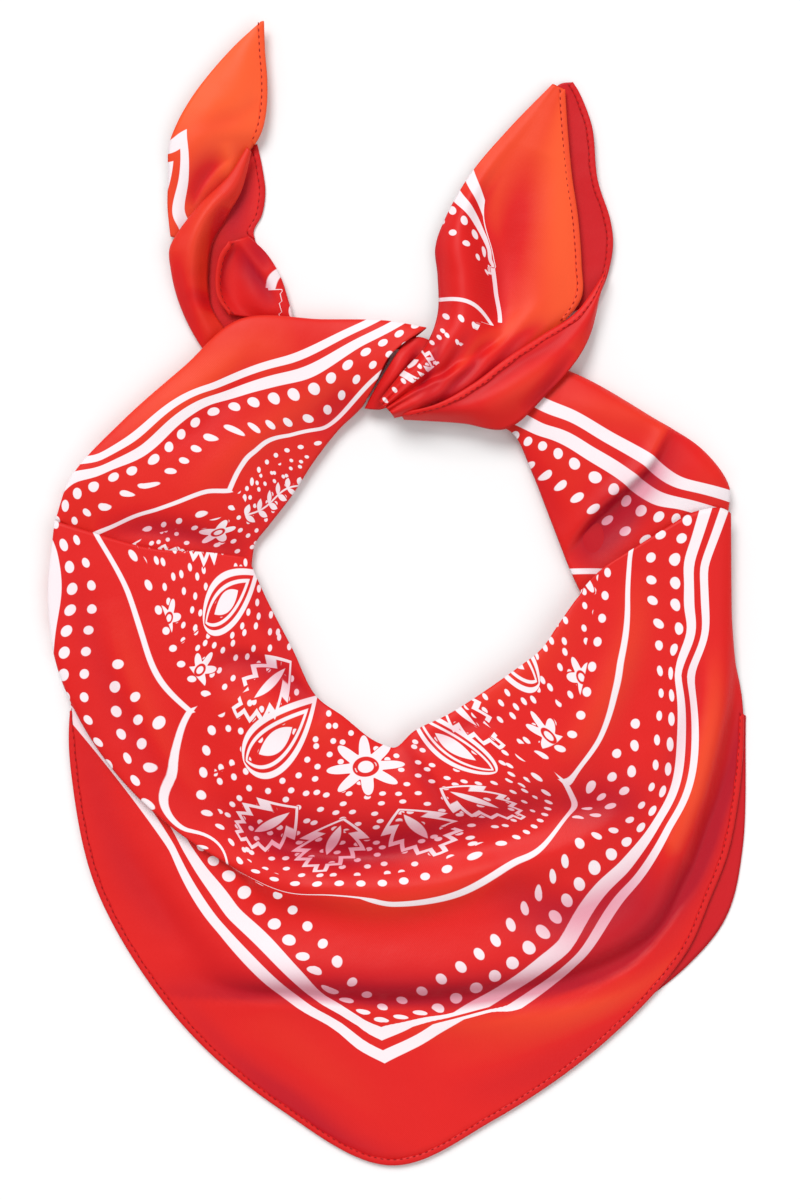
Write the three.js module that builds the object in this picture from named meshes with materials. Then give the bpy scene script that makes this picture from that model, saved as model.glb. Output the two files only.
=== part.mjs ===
// A square satin bandana folded corner to corner, tied in a loop with two free ends, and laid flat.
// Millimetres, +Z up, +Y towards the knot. The cloth rests on z = 0.
import * as THREE from "three";

// The uncut square, and the wall that stands for its cloth.
const CLOTH_WALL = 1.2;
const SEAM_GAP = 0.3;
const FLOOR_LAYER = CLOTH_WALL / 2;
const FRONT_LAYER = CLOTH_WALL + SEAM_GAP;

// The hem turned in along each edge that shows.
const HEM = { width: 2.6, wall: 0.7, inset: 0.3 };

// How finely the walls are divided between two rows and between two columns of a table.
const BAND_STEPS = { along: 2, across: 3 };
const TAIL_STEPS = { along: 3, across: 3 };
const FOLD_STEPS = { along: 2, across: 1 };

// Turned edges: how far the cloth runs back under itself at the outside of the left band, and at the neck.
const TURN_UNDER = { inward: [2.5, 6, 10, 14], drop: [0.42, 0.6, 0.66, 0.7] };
const NECK_LIP = { inward: 3.2, drop: 2.2 };

const RED = { color: 0xd8262c, roughness: 0.48, metalness: 0 };
const DEEP_RED = { color: 0xc41f27, roughness: 0.55, metalness: 0 };
const HEM_RED = { color: 0xb81a22, roughness: 0.6, metalness: 0 };
const BRIGHT_RED = { color: 0xe8402f, roughness: 0.45, metalness: 0 };

// Sections of the neck band and the front drape, in order from the knot down the left side, round the
// front and up the right side. Each runs from the neck edge out to the hem: over the bulge beside the
// neck, the valley, the crest of the swag, the tuck beneath it, the lower roll and its foot.
const LEFT_BAND = [
  { neck: [-15.5, 79, 6], bulge: [-10, 88, 10.5], valley: [-3, 101, 13], crest: [12, 112.5, 9.5] },
  { neck: [-19, 75.6, 5.6], bulge: [-17, 86, 10], valley: [-13, 98, 12.6], crest: [-5, 115.4, 9.4] },
  { neck: [-25, 70, 5], bulge: [-26, 82, 9], valley: [-28, 94, 12], crest: [-32, 116, 9] },
  { neck: [-36, 56, 5], bulge: [-43, 69, 9], valley: [-53, 86, 12], crest: [-67, 116, 10] },
  { neck: [-45, 42, 5], bulge: [-56, 54, 9], valley: [-70, 69, 11.5], crest: [-91, 96, 8] },
  { neck: [-55, 29, 5], bulge: [-69, 39, 9], valley: [-87, 53, 11], crest: [-117, 73, 8] },
  { neck: [-61, 21, 4.6], bulge: [-79, 27, 7.4], valley: [-102, 35, 9.5], crest: [-139, 49, 8] },
  { neck: [-63, 9, 3.4], bulge: [-81, 9, 4.4], valley: [-106, 11, 5.4], crest: [-146, 31, 5] },
];
const DRAPE = [
  { neck: [-64, 15, 8.6], bulge: [-80, 17, 9.6], valley: [-106, 19, 9.6], crest: [-146, 30.4, 8],
    tuck: [-145, 29.8, 6.2], roll: [-144, 29, 5.4], foot: [-143, 28.2, 4.8], hem: [-141.6, 27.6, 4.6] },
  { neck: [-56, -3, 9], bulge: [-74, -3, 11], valley: [-106, -3, 10], crest: [-149, -3, 7],
    tuck: [-146, -4, 3.6], roll: [-141, -6, 3], foot: [-137, -10, 2.8], hem: [-133, -16, 2.6] },
  { neck: [-45, -24, 10], bulge: [-70, -31, 12], valley: [-102, -38, 10], crest: [-144, -35, 7],
    tuck: [-141, -34, 3.6], roll: [-138, -37, 2.8], foot: [-138, -43, 2.4], hem: [-140, -50, 2.1] },
  { neck: [-35, -44, 10], bulge: [-62, -61, 12], valley: [-89, -72, 9], crest: [-123, -73, 8],
    tuck: [-118, -69, 3.8], roll: [-123, -77, 2.6], foot: [-130, -81, 2.3], hem: [-139, -80, 2.1] },
  { neck: [-23, -53, 10], bulge: [-47, -82, 12.5], valley: [-68, -99, 7.5], crest: [-89, -105, 9.5],
    tuck: [-84, -99, 4.4], roll: [-100, -118, 4], foot: [-108, -124, 2.8], hem: [-128, -128, 2.1] },
  { neck: [-12, -62, 9], bulge: [-26, -92, 13], valley: [-37, -110.5, 7], crest: [-49, -125, 10.5],
    tuck: [-56, -134, 5.4], roll: [-70, -160, 7], foot: [-79, -169, 3], hem: [-94, -182, 2.1] },
  { neck: [-6, -65, 8.4], bulge: [-15, -92.5, 13], valley: [-21, -112.5, 7], crest: [-28, -126, 11],
    tuck: [-30, -139, 6], roll: [-38, -165, 9], foot: [-42, -175, 3.2], hem: [-51, -220, 2.1] },
  { neck: [-1, -66, 8], bulge: [-3, -92, 13], valley: [-2, -112.5, 7], crest: [-5, -126, 11.5],
    tuck: [-6, -141, 6.6], roll: [-5, -167, 9.5], foot: [-6, -178.5, 3.2], hem: [-3, -244.5, 2.1] },
  { neck: [7, -59, 9], bulge: [13, -92, 13], valley: [16, -111, 7], crest: [16, -124, 11.5],
    tuck: [17, -138, 7], roll: [28, -165, 9.5], foot: [32, -175.5, 3.2], hem: [41, -225, 2.1] },
  { neck: [23, -51, 9], bulge: [38, -88, 12.5], valley: [44, -105, 7], crest: [48, -116, 11],
    tuck: [52, -129, 8], roll: [68, -157, 9.5], foot: [75, -167, 3.4], hem: [88, -192, 2.1] },
  { neck: [51, -32, 10], bulge: [65, -73, 11.5], valley: [76, -93, 7.4], crest: [83, -104, 10],
    tuck: [90, -113, 8.6], roll: [104, -141, 9.5], foot: [111, -147, 3.6], hem: [122, -155, 2.1] },
  { neck: [61, -24, 10.6], bulge: [73, -61, 11.5], valley: [85, -84, 8.4], crest: [93, -95, 10],
    tuck: [101, -104, 9.2], roll: [116, -121, 9.5], foot: [123, -126, 3.6], hem: [133, -131, 2.1] },
  { neck: [68, -14, 11], bulge: [81, -46, 11.5], valley: [94, -72, 9.4], crest: [103, -85, 10],
    tuck: [111, -94, 9.8], roll: [125, -98, 9.5], foot: [131, -101, 3.8], hem: [142, -106, 2.1] },
  { neck: [75, -4, 11], bulge: [88, -18, 11.5], valley: [100, -31, 10], crest: [110.5, -42, 10.5],
    tuck: [122, -46, 10.5], roll: [138, -46, 9.5], foot: [143, -48, 4.2], hem: [147.4, -52, 2.2] },
  { neck: [77.4, -1, 11], bulge: [89, -3, 11.5], valley: [102, -2, 10.5], crest: [113, -3, 10.5],
    tuck: [125, -4, 10.5], roll: [137.5, -5.5, 9.5], foot: [142, -6, 6], hem: [139.6, -8, 3] },
  { neck: [78, 1, 11], bulge: [86, 9.5, 11.5], valley: [102, 20, 11.5], crest: [115.5, 28.5, 11],
    tuck: [125, 34, 10.5], roll: [137, 36, 9.6], foot: [141.6, 33.5, 7.4], hem: [140, 32, 5.8] },
];
const RIGHT_BAND = [
  { neck: [82, -8, 5.4], bulge: [95, -3, 6.4], valley: [110, 9, 7], crest: [120, 22, 7.2],
    tuck: [126.4, 32.6, 7.8], roll: [137, 34.6, 6.8], foot: [140.6, 33, 4], hem: [138, 31, 2.4] },
  { neck: [74, 8.5, 6], bulge: [83, 15, 7.6], valley: [94, 25, 8.6], crest: [108, 37, 9.6],
    tuck: [123, 43, 10], roll: [135, 47, 9.4], foot: [141, 45, 6], hem: [138, 43, 3] },
  { neck: [66, 29, 6], bulge: [75, 36, 9], valley: [85, 45.5, 11], crest: [98, 54, 11.5],
    tuck: [110.5, 58.5, 11], roll: [123, 61.5, 9.4], foot: [130, 60.5, 6], hem: [128, 58, 3] },
  { neck: [57, 52, 6], bulge: [65, 55, 9], valley: [74, 62.5, 11], crest: [84, 69, 11.5],
    tuck: [93.5, 73.5, 11], roll: [103, 75.5, 9.4], foot: [108, 74.5, 6], hem: [106, 72, 3] },
  { neck: [49, 68, 6], bulge: [54, 71, 8], valley: [61, 76, 10], crest: [68, 81.5, 10],
    tuck: [73.5, 85.5, 9.6], roll: [80, 89, 8.4], foot: [84, 89, 5.6], hem: [82, 87, 3] },
  { neck: [38, 73, 5], bulge: [42.5, 78, 6.6], valley: [48, 84, 7.6], crest: [53, 89, 8],
    tuck: [59, 93, 7.6], roll: [64, 96, 7], foot: [67, 97, 5], hem: [65, 95, 3] },
];
const ACROSS = ["neck", "bulge", "valley", "crest", "tuck", "roll", "foot", "hem"];

// The rounded mass of folded layers beside the neck, hidden by the cloth over it: where each point of its
// outline lies from the neck edge to the valley, and how much of the room below the cloth it fills.
const FOLDED_LAYERS = [
  { across: 0.14, fill: 0 },
  { across: 0.05, fill: 0.2 },
  { across: 0.11, fill: 0.42 },
  { across: 0.07, fill: 0.64 },
  { across: 0.16, fill: 0.9 },
  { across: 0.5, fill: 1 },
  { across: 0.82, fill: 0.82 },
  { across: 0.97, fill: 0.4 },
  { across: 0.9, fill: 0 },
];
const ROOM = { fromNeck: 4.6, belowCloth: 1.95, least: 0.8 };
const UNDER_KNOT = [
  { neck: [26, 76, 8], bulge: [31, 83, 10], valley: [37, 91, 11] },
  { neck: [12, 77, 8], bulge: [17, 86, 11], valley: [24, 98, 12] },
  { neck: [-2, 79, 7], bulge: [1, 88, 10], valley: [8, 101, 10] },
];

// How far the back half of the folded square stands out past the front hem, by the drape's section.
const BACK_HALF = { first: 2, last: 13, start: 0.15, peek: [-6, -5, -4, -4, -4, -4, -4, -4, 4.5, 10.5, 6.5, 1.5] };

// The free ends. Each row is a section from the knot, or from the fold beneath, out to the tip. Gathers are
// counted across the end, their height is in millimetres, and the last row is where they have died away.
const TAILS = {
  tail_right_front: {
    material: BRIGHT_RED,
    steps: { along: 3, across: 4 },
    gathers: { count: 4, height: 1.8, lastRow: 3.6 },
    columns: ["fold", "roll", "valley", "panel", "hem"],
    rows: [
      { fold: [-8, 81, 14.15], roll: [-6.6, 79.6, 15.15], valley: [-5.2, 78.4, 14.75], panel: [-4, 77.2, 15.15], hem: [-2.6, 76, 14.15] },
      { fold: [2, 93.5, 13.65], roll: [5, 90, 18.15], valley: [8, 87.6, 15.65], panel: [11, 84.8, 18.15], hem: [14, 81, 15.15] },
      { fold: [12, 105, 12.3], roll: [17, 102, 18.8], valley: [23, 96, 15.3], panel: [27, 91.5, 17.8], hem: [32, 87, 14.8] },
      { fold: [17, 119, 7.4], roll: [27, 116, 15.4], valley: [43, 111, 8.4], panel: [54, 112, 9.9], hem: [70, 115, 5.9] },
      { fold: [17, 135, 6], roll: [28, 132.5, 13.5], valley: [42, 128.5, 6.5], panel: [59, 128, 8], hem: [78, 126, 5] },
      { fold: [16, 147, 5.5], roll: [26, 146, 12], valley: [40, 143, 5.6], panel: [58, 143, 7.5], hem: [78, 140, 5] },
      { fold: [20, 159, 5], roll: [27, 160, 9.5], valley: [36, 161, 5.2], panel: [55, 160, 7.5], hem: [76.5, 160, 5] },
      { fold: [31, 178.5, 4.6], roll: [36, 177, 6.5], valley: [40, 175, 5.6], panel: [54, 175, 7], hem: [74, 177, 5] },
      { fold: [47.5, 198, 4.4], roll: [52, 198, 5.6], valley: [56, 198, 5.8], panel: [63, 198, 6], hem: [72, 198.5, 4.8] },
      { fold: [66, 217, 4], roll: [67, 216.6, 4.4], valley: [68, 216, 4.4], panel: [69.4, 215.4, 4.4], hem: [71, 214.6, 4] },
    ],
  },
  tail_right_back: {
    material: DEEP_RED,
    columns: ["under", "middle", "hem"],
    rows: [
      { under: [66, 215, 1.4], middle: [70, 217.6, 1.6], hem: [74.5, 218, 2.2] },
      { under: [68, 211, 1.4], middle: [72, 214, 1.6], hem: [77, 214, 2.4] },
      { under: [66, 197, 1.2], middle: [75, 198, 1.6], hem: [82.6, 199, 2.8] },
      { under: [66, 178, 1.2], middle: [76, 177, 1.6], hem: [85, 176.4, 3] },
      { under: [68, 160, 1.2], middle: [80, 159.6, 1.6], hem: [90.4, 159.2, 3] },
      { under: [70, 146, 1.2], middle: [82, 147, 1.6], hem: [91.6, 148.4, 3] },
      { under: [70, 131, 1.2], middle: [80, 132, 1.6], hem: [89, 134.6, 2.2] },
      { under: [66, 119, 1.2], middle: [74, 120, 1.4], hem: [84, 123, 1.8] },
    ],
  },
  tail_right_flap: {
    material: RED,
    columns: ["hem", "middle", "fold"],
    rows: [
      { hem: [89, 137.6, 5.2], middle: [88.4, 134.6, 6.6], fold: [86.4, 129, 5] },
      { hem: [76, 119, 9.5], middle: [80, 115.6, 10.7], fold: [82, 110.6, 7.3] },
      { hem: [61.6, 109.2, 12.3], middle: [69, 103.5, 13.7], fold: [76, 99, 10.1] },
      { hem: [46.8, 99.4, 15.9], middle: [55.5, 91.5, 17.3], fold: [63, 84, 12.9] },
      { hem: [32.4, 88.4, 18.15], middle: [40, 80.6, 19.15], fold: [46, 69.6, 12.15] },
      { hem: [17, 79.8, 18.15], middle: [22.6, 77, 18.15], fold: [27, 72, 11.75] },
      { hem: [0.6, 76, 13.55], middle: [1.6, 75, 13.35], fold: [2.6, 73.6, 10.75] },
    ],
  },
  tail_left_leaf: {
    material: BRIGHT_RED,
    columns: ["outer", "panel", "crease", "inner"],
    rows: [
      { outer: [-60.6, 242.4, 6], panel: [-59.4, 242.7, 6], crease: [-58.3, 242.9, 6], inner: [-57.2, 243, 6] },
      { outer: [-70, 232.5, 6], panel: [-66, 232.2, 7], crease: [-61.5, 231.7, 7], inner: [-57, 231, 6] },
      { outer: [-79.5, 222, 6], panel: [-72.5, 221, 7.8], crease: [-64.5, 219.7, 7.6], inner: [-56, 218, 6] },
      { outer: [-87.6, 211.4, 6], panel: [-78, 209.6, 8.4], crease: [-67.5, 207.4, 7.8], inner: [-56.4, 205.4, 6] },
      { outer: [-94, 200.4, 5.6], panel: [-83, 198.4, 8.4], crease: [-71, 196.6, 7.4], inner: [-58.5, 196, 6] },
      { outer: [-97.8, 190, 5], panel: [-87.4, 187.6, 7.6], crease: [-75, 186, 4.6], inner: [-63.6, 188, 3.6] },
      { outer: [-98, 178, 4], panel: [-91, 176, 6], crease: [-83, 174, 3.4], inner: [-74, 173, 3] },
      { outer: [-98.4, 165, 3], panel: [-94.4, 164, 3.8], crease: [-90, 162.4, 2.8], inner: [-84, 160, 2.6] },
      { outer: [-97.2, 152, 2.6], panel: [-95, 151.4, 2.8], crease: [-93, 150.6, 2.6], inner: [-90.6, 149.6, 2.4] },
    ],
  },
  tail_left_back: {
    material: DEEP_RED,
    columns: ["under", "middle", "hem"],
    rows: [
      { under: [-65.6, 190, 0.6], middle: [-63, 191, 0.6], hem: [-60.4, 191.6, 0.6] },
      { under: [-72, 182, 0.6], middle: [-64, 181.6, 0.6], hem: [-58.2, 181.2, 0.6] },
      { under: [-80, 171, 0.6], middle: [-68, 171.2, 0.6], hem: [-57, 171.2, 0.6] },
      { under: [-86, 161, 0.6], middle: [-71, 161.4, 0.6], hem: [-58.4, 161.6, 0.6] },
      { under: [-89, 152.6, 0.6], middle: [-75, 153, 0.6], hem: [-62, 153.6, 0.6] },
      { under: [-91, 143, 0.6], middle: [-75, 144, 0.6], hem: [-57.6, 145, 0.6] },
      { under: [-91, 131, 0.6], middle: [-72, 133, 0.6], hem: [-50.6, 135, 0.6] },
      { under: [-87, 119.5, 0.6], middle: [-66, 121.5, 0.6], hem: [-47.4, 124.6, 0.6] },
      { under: [-79, 109, 0.6], middle: [-60, 112, 0.6], hem: [-44.6, 115.6, 0.6] },
    ],
  },
  tail_left_roll: {
    material: RED,
    columns: ["lip", "outer", "crown", "inner"],
    rows: [
      { lip: [-64, 188.6, 6.4], outer: [-64.2, 189.6, 7], crown: [-63.4, 188.8, 7.4], inner: [-62.6, 187.6, 6.4] },
      { lip: [-70.8, 175.6, 5.6], outer: [-72.4, 177, 6.8], crown: [-69.4, 174, 8], inner: [-67, 171, 4.8] },
      { lip: [-81.6, 164.6, 5], outer: [-84, 165.6, 6.4], crown: [-78, 165, 9], inner: [-71.6, 163, 4] },
      { lip: [-90, 153.6, 5], outer: [-92.8, 154.6, 6.4], crown: [-84.6, 156, 9.6], inner: [-75.4, 156.4, 3.4] },
      { lip: [-94, 145.8, 5], outer: [-97.2, 146.4, 6.2], crown: [-88, 147, 10], inner: [-79.6, 148.6, 3.2] },
      { lip: [-93.4, 137.4, 3.4], outer: [-96.6, 137, 5.4], crown: [-88.6, 138, 10], inner: [-81, 139, 3] },
      { lip: [-91.2, 127.4, 2.8], outer: [-94.2, 126.4, 4.8], crown: [-87.6, 127.4, 9], inner: [-81, 129, 3] },
      { lip: [-87.4, 117.2, 2.4], outer: [-90, 115.8, 4], crown: [-84.4, 118, 7], inner: [-79, 120.4, 2.8] },
      { lip: [-82.6, 108.6, 2.2], outer: [-85, 106.8, 3], crown: [-80, 109.4, 4.4], inner: [-74.4, 113, 2.4] },
      { lip: [-79.4, 103, 2.1], outer: [-81, 101.5, 2.2], crown: [-77, 105, 2.4], inner: [-72, 109.4, 2.2] },
    ],
  },
  tail_left_side: {
    material: RED,
    columns: ["curl", "valley", "panel", "edge", "foot"],
    rows: [
      { curl: [-72, 149.4, 6.6], valley: [-69.4, 150, 6.4], panel: [-67, 150.8, 6.2], edge: [-64, 151.8, 5], foot: [-65.2, 150.8, 3.2] },
      { curl: [-75.6, 144, 8], valley: [-70.6, 142.6, 4], panel: [-64.6, 143.4, 6.4], edge: [-56.6, 145, 4.6], foot: [-59, 143.4, 2.6] },
      { curl: [-77.6, 134.6, 8.4], valley: [-71.6, 133, 3], panel: [-61.6, 133.4, 6], edge: [-50.4, 135, 4.4], foot: [-53.4, 133.6, 2.4] },
      { curl: [-76.8, 125.6, 7], valley: [-70, 124.4, 2.6], panel: [-58.6, 124, 5.4], edge: [-46.8, 124, 4], foot: [-49.8, 123, 2.2] },
      { curl: [-72, 118.6, 3.6], valley: [-64, 117.6, 2.4], panel: [-55, 116.6, 3.4], edge: [-44.6, 115.6, 3], foot: [-47, 114.6, 2.1] },
    ],
  },
  knot_wrap: {
    material: RED,
    columns: ["left", "ridge", "dip", "right"],
    rows: [
      { left: [3.4, 107.4, 9.2], ridge: [8.6, 108.6, 9.6], dip: [12.6, 107.6, 9.2], right: [16.6, 104.6, 9] },
      { left: [-1.4, 100, 11.4], ridge: [4, 101, 12.4], dip: [9, 100.6, 11.6], right: [14, 99.4, 11.4] },
      { left: [-7, 91, 10.2], ridge: [-2, 92, 12.6], dip: [3, 91.6, 11.4], right: [8, 90.6, 12] },
      { left: [-11.2, 84, 8], ridge: [-7, 85, 11], dip: [-2.4, 84.6, 10], right: [2.2, 84, 11] },
      { left: [-14.2, 78.4, 5.6], ridge: [-11, 78, 7.6], dip: [-7.4, 78, 7.4], right: [-3.6, 79, 9] },
    ],
  },
};

// A point of a smooth curve through the given points, at a place counted in points.
function through(points, place) {
  const curve = new THREE.CatmullRomCurve3(points, false, "centripetal");
  return curve.getPoint(place / (points.length - 1));
}

// The points of a smooth surface through a net of points: rows along it, columns across it.
function surfaceGrid(net, steps) {
  const width = net[0].length;
  const rowCount = (net.length - 1) * steps.along + 1;
  const columnCount = (width - 1) * steps.across + 1;
  const lengthwise = Array.from({ length: width }, (_, c) => net.map((row) => row[c]));
  return Array.from({ length: rowCount }, (_, i) => {
    const section = lengthwise.map((line) => through(line, i / steps.along));
    return Array.from({ length: columnCount }, (_, j) => through(section, j / steps.across));
  });
}

// Raises gathers that run lengthwise from the knot and have died away by the row given.
function gather(grid, steps, { count, height, lastRow }) {
  grid.forEach((section, i) => section.forEach((point, j) => {
    const across = j / (section.length - 1);
    const strength = Math.max(1 - i / steps.along / lastRow, 0);
    point.z += (height * strength * (1 - Math.cos(2 * Math.PI * count * across))) / 2;
  }));
}

// The direction a surface faces at one point of its grid.
function facing(grid, i, j) {
  const row = (k) => grid[Math.min(Math.max(k, 0), grid.length - 1)];
  const column = (line, k) => line[Math.min(Math.max(k, 0), line.length - 1)];
  const along = row(i + 1)[j].clone().sub(row(i - 1)[j]);
  const across = column(grid[i], j + 1).clone().sub(column(grid[i], j - 1));
  return across.cross(along).normalize();
}

// A closed wall between an upper and a lower grid of points.
function closedWall(upper, lower) {
  const rows = upper.length;
  const columns = upper[0].length;
  const positions = [...upper.flat(), ...lower.flat()].flatMap((p) => [p.x, p.y, p.z]);
  const top = (i, j) => i * columns + j;
  const bottom = (i, j) => rows * columns + i * columns + j;
  const faces = [];
  const quad = (a, b, c, d) => faces.push(a, b, c, a, c, d);
  for (let i = 0; i < rows - 1; i++) {
    for (let j = 0; j < columns - 1; j++) {
      quad(top(i, j), top(i, j + 1), top(i + 1, j + 1), top(i + 1, j));
      quad(bottom(i, j), bottom(i + 1, j), bottom(i + 1, j + 1), bottom(i, j + 1));
    }
  }
  for (let j = 0; j < columns - 1; j++) {
    quad(top(0, j + 1), top(0, j), bottom(0, j), bottom(0, j + 1));
    quad(top(rows - 1, j), top(rows - 1, j + 1), bottom(rows - 1, j + 1), bottom(rows - 1, j));
  }
  for (let i = 0; i < rows - 1; i++) {
    quad(top(i, 0), top(i + 1, 0), bottom(i + 1, 0), bottom(i, 0));
    quad(top(i + 1, columns - 1), top(i, columns - 1), bottom(i, columns - 1), bottom(i + 1, columns - 1));
  }
  const wall = new THREE.BufferGeometry();
  wall.setAttribute("position", new THREE.Float32BufferAttribute(positions, 3));
  wall.setIndex(facesOut(positions, faces));
  wall.computeVertexNormals();
  return wall;
}

// The faces as they are, or all turned round if they enclose a negative volume.
function facesOut(positions, faces) {
  const at = (k) => new THREE.Vector3(positions[3 * k], positions[3 * k + 1], positions[3 * k + 2]);
  let volume = 0;
  for (let f = 0; f < faces.length; f += 3) {
    volume += at(faces[f]).dot(at(faces[f + 1]).cross(at(faces[f + 2])));
  }
  if (volume > 0) {
    return faces;
  }
  return faces.map((_, k) => faces[k - (k % 3) + [0, 2, 1][k % 3]]);
}

// Cloth of the wall's thickness with the grid down its middle, no part of it lower than the floor given.
function clothWall(grid, floor = 0) {
  const middle = grid.map((row) => row.map((point) => (
    point.clone().setZ(Math.max(point.z, floor + CLOTH_WALL / 2))
  )));
  return wallAbout(middle, CLOTH_WALL);
}

// A wall of the thickness given, with the grid down its middle.
function wallAbout(grid, thickness) {
  const side = (sign) => grid.map((row, i) => row.map((point, j) => (
    point.clone().addScaledVector(facing(grid, i, j), (sign * thickness) / 2)
  )));
  return closedWall(side(1), side(-1));
}

const vector = ([x, y, z]) => new THREE.Vector3(x, y, z);

// The cloth beyond a left band section's outer edge, turned back beneath it.
function turnedUnder(section) {
  const edge = vector(section.crest);
  const inward = vector(section.valley).sub(edge).setZ(0).normalize();
  return TURN_UNDER.inward.map((distance, k) => {
    const point = edge.clone().addScaledVector(inward, distance);
    point.z = edge.z * (1 - TURN_UNDER.drop[k]);
    return point;
  });
}

// One section's points, from the lip turned under at the neck edge out to the hem.
function sectionPoints(section) {
  const neck = vector(section.neck);
  const outward = vector(section.bulge).sub(neck).setZ(0).normalize();
  const lip = neck.clone().addScaledVector(outward, NECK_LIP.inward);
  lip.z -= NECK_LIP.drop;
  const shown = ACROSS.filter((name) => section[name]).map((name) => vector(section[name]));
  return section.hem ? [lip, ...shown] : [lip, ...shown, ...turnedUnder(section)];
}

// The folded layers beside the neck, from the right side of the knot round to its left side.
function foldedLayers() {
  const sections = [...LEFT_BAND, ...DRAPE.slice(1, -2), ...RIGHT_BAND, ...UNDER_KNOT];
  const outlines = sections.map(({ neck, bulge, valley }) => {
    const cloth = [vector(neck), vector(bulge), vector(valley)];
    cloth[0].lerp(cloth[1], ROOM.fromNeck / cloth[0].distanceTo(cloth[1]));
    return FOLDED_LAYERS.map(({ across, fill }) => {
      const point = through(cloth, across * 2);
      point.z = fill * Math.max(point.z - ROOM.belowCloth, ROOM.least);
      return point;
    });
  });
  return closedTube(surfaceGrid(outlines.map((outline) => [...outline, outline[0]]), FOLD_STEPS));
}

// A closed body from a grid whose sections each come back to where they start, with both ends filled.
function closedTube(grid) {
  const rings = grid.map((section) => section.slice(0, -1));
  const size = rings[0].length;
  const positions = rings.flat().flatMap((p) => [p.x, p.y, p.z]);
  const faces = [];
  rings.slice(1).forEach((_, i) => {
    for (let j = 0; j < size; j++) {
      const near = i * size + j;
      const next = i * size + ((j + 1) % size);
      faces.push(near, next, next + size, near, next + size, near + size);
    }
  });
  const middle = (ring) => ring.reduce((sum, p) => sum.add(p), new THREE.Vector3()).divideScalar(size);
  const ends = [rings[0], rings[rings.length - 1]];
  positions.push(...ends.flatMap((ring) => middle(ring).toArray()));
  const firstMiddle = rings.length * size;
  const lastRing = (rings.length - 1) * size;
  for (let j = 0; j < size; j++) {
    const next = (j + 1) % size;
    faces.push(firstMiddle, next, j, firstMiddle + 1, lastRing + j, lastRing + next);
  }
  const tube = new THREE.BufferGeometry();
  tube.setAttribute("position", new THREE.Float32BufferAttribute(positions, 3));
  tube.setIndex(facesOut(positions, faces));
  tube.computeVertexNormals();
  return tube;
}

// A turned and stitched hem lying on a cloth wall, along one edge of its grid.
function hem(grid, edge, rows = [0, grid.length - 1]) {
  const lift = CLOTH_WALL / 2 + SEAM_GAP + HEM.wall / 2;
  const columns = edge === "last" ? [-1, -2] : [0, 1];
  const strip = grid.slice(rows[0], rows[1] + 1).map((section, k) => {
    const [outer, inner] = columns.map((c) => section.at(c));
    const up = facing(grid, rows[0] + k, edge === "last" ? section.length - 1 : 0);
    up.multiplyScalar(Math.sign(up.z) * lift);
    const inward = inner.clone().sub(outer).normalize();
    return [HEM.inset, HEM.inset + HEM.width].map((distance) => (
      outer.clone().addScaledVector(inward, distance).add(up)
    ));
  });
  return wallAbout(strip, HEM.wall);
}

// The back half of the square, flat on the floor beneath the front drape.
function backHalf() {
  const sections = DRAPE.slice(BACK_HALF.first, BACK_HALF.last + 1);
  const net = sections.map((section, k) => {
    const inside = vector(section.valley).lerp(vector(section.crest), BACK_HALF.start);
    const hem = vector(section.hem);
    const outward = hem.clone().sub(vector(section.valley)).setZ(0).normalize();
    const edge = hem.clone().addScaledVector(outward, BACK_HALF.peek[k]);
    return [0, 0.5, 1].map((share) => inside.clone().lerp(edge, share).setZ(FLOOR_LAYER));
  });
  return clothWall(surfaceGrid(net, BAND_STEPS));
}

function piece(name, geometry, finish) {
  const mesh = new THREE.Mesh(geometry, new THREE.MeshStandardMaterial(finish));
  mesh.name = name;
  return mesh;
}

// The hems that show: the cloth each one lies on, the edge of its grid, and the rows it covers.
const HEMS = {
  hem_front: { on: "front_drape", edge: "last", rows: [4, 26] },
  hem_tail_right: { on: "tail_right_front", edge: "last" },
  hem_tail_right_back: { on: "tail_right_back", edge: "last" },
  hem_tail_right_flap: { on: "tail_right_flap", edge: "first" },
  hem_tail_left: { on: "tail_left_leaf", edge: "last", rows: [0, 14] },
  hem_tail_left_back: { on: "tail_left_back", edge: "last", rows: [0, 13] },
};

function bandana() {
  const group = new THREE.Group();
  const grids = {};
  const addCloth = (name, net, steps, floor, finish, gathers) => {
    grids[name] = surfaceGrid(net, steps);
    if (gathers) {
      gather(grids[name], steps, gathers);
    }
    group.add(piece(name, clothWall(grids[name], floor), finish));
  };
  const bands = { left_band: LEFT_BAND, front_drape: DRAPE, right_band: RIGHT_BAND };
  for (const [name, sections] of Object.entries(bands)) {
    addCloth(name, sections.map(sectionPoints), BAND_STEPS, FRONT_LAYER, RED);
  }
  group.add(piece("back_half", backHalf(), DEEP_RED));
  group.add(piece("neck_folds", foldedLayers(), DEEP_RED));
  for (const [name, tail] of Object.entries(TAILS)) {
    const net = tail.rows.map((row) => tail.columns.map((column) => vector(row[column])));
    addCloth(name, net, tail.steps ?? TAIL_STEPS, 0, tail.material, tail.gathers);
  }
  for (const [name, { on, edge, rows }] of Object.entries(HEMS)) {
    group.add(piece(name, hem(grids[on], edge, rows), HEM_RED));
  }
  return group;
}

export default bandana();
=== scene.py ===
"""A printed satin bandana, tied in a loop and laid flat, with its hems, floor, lights and camera."""

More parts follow.
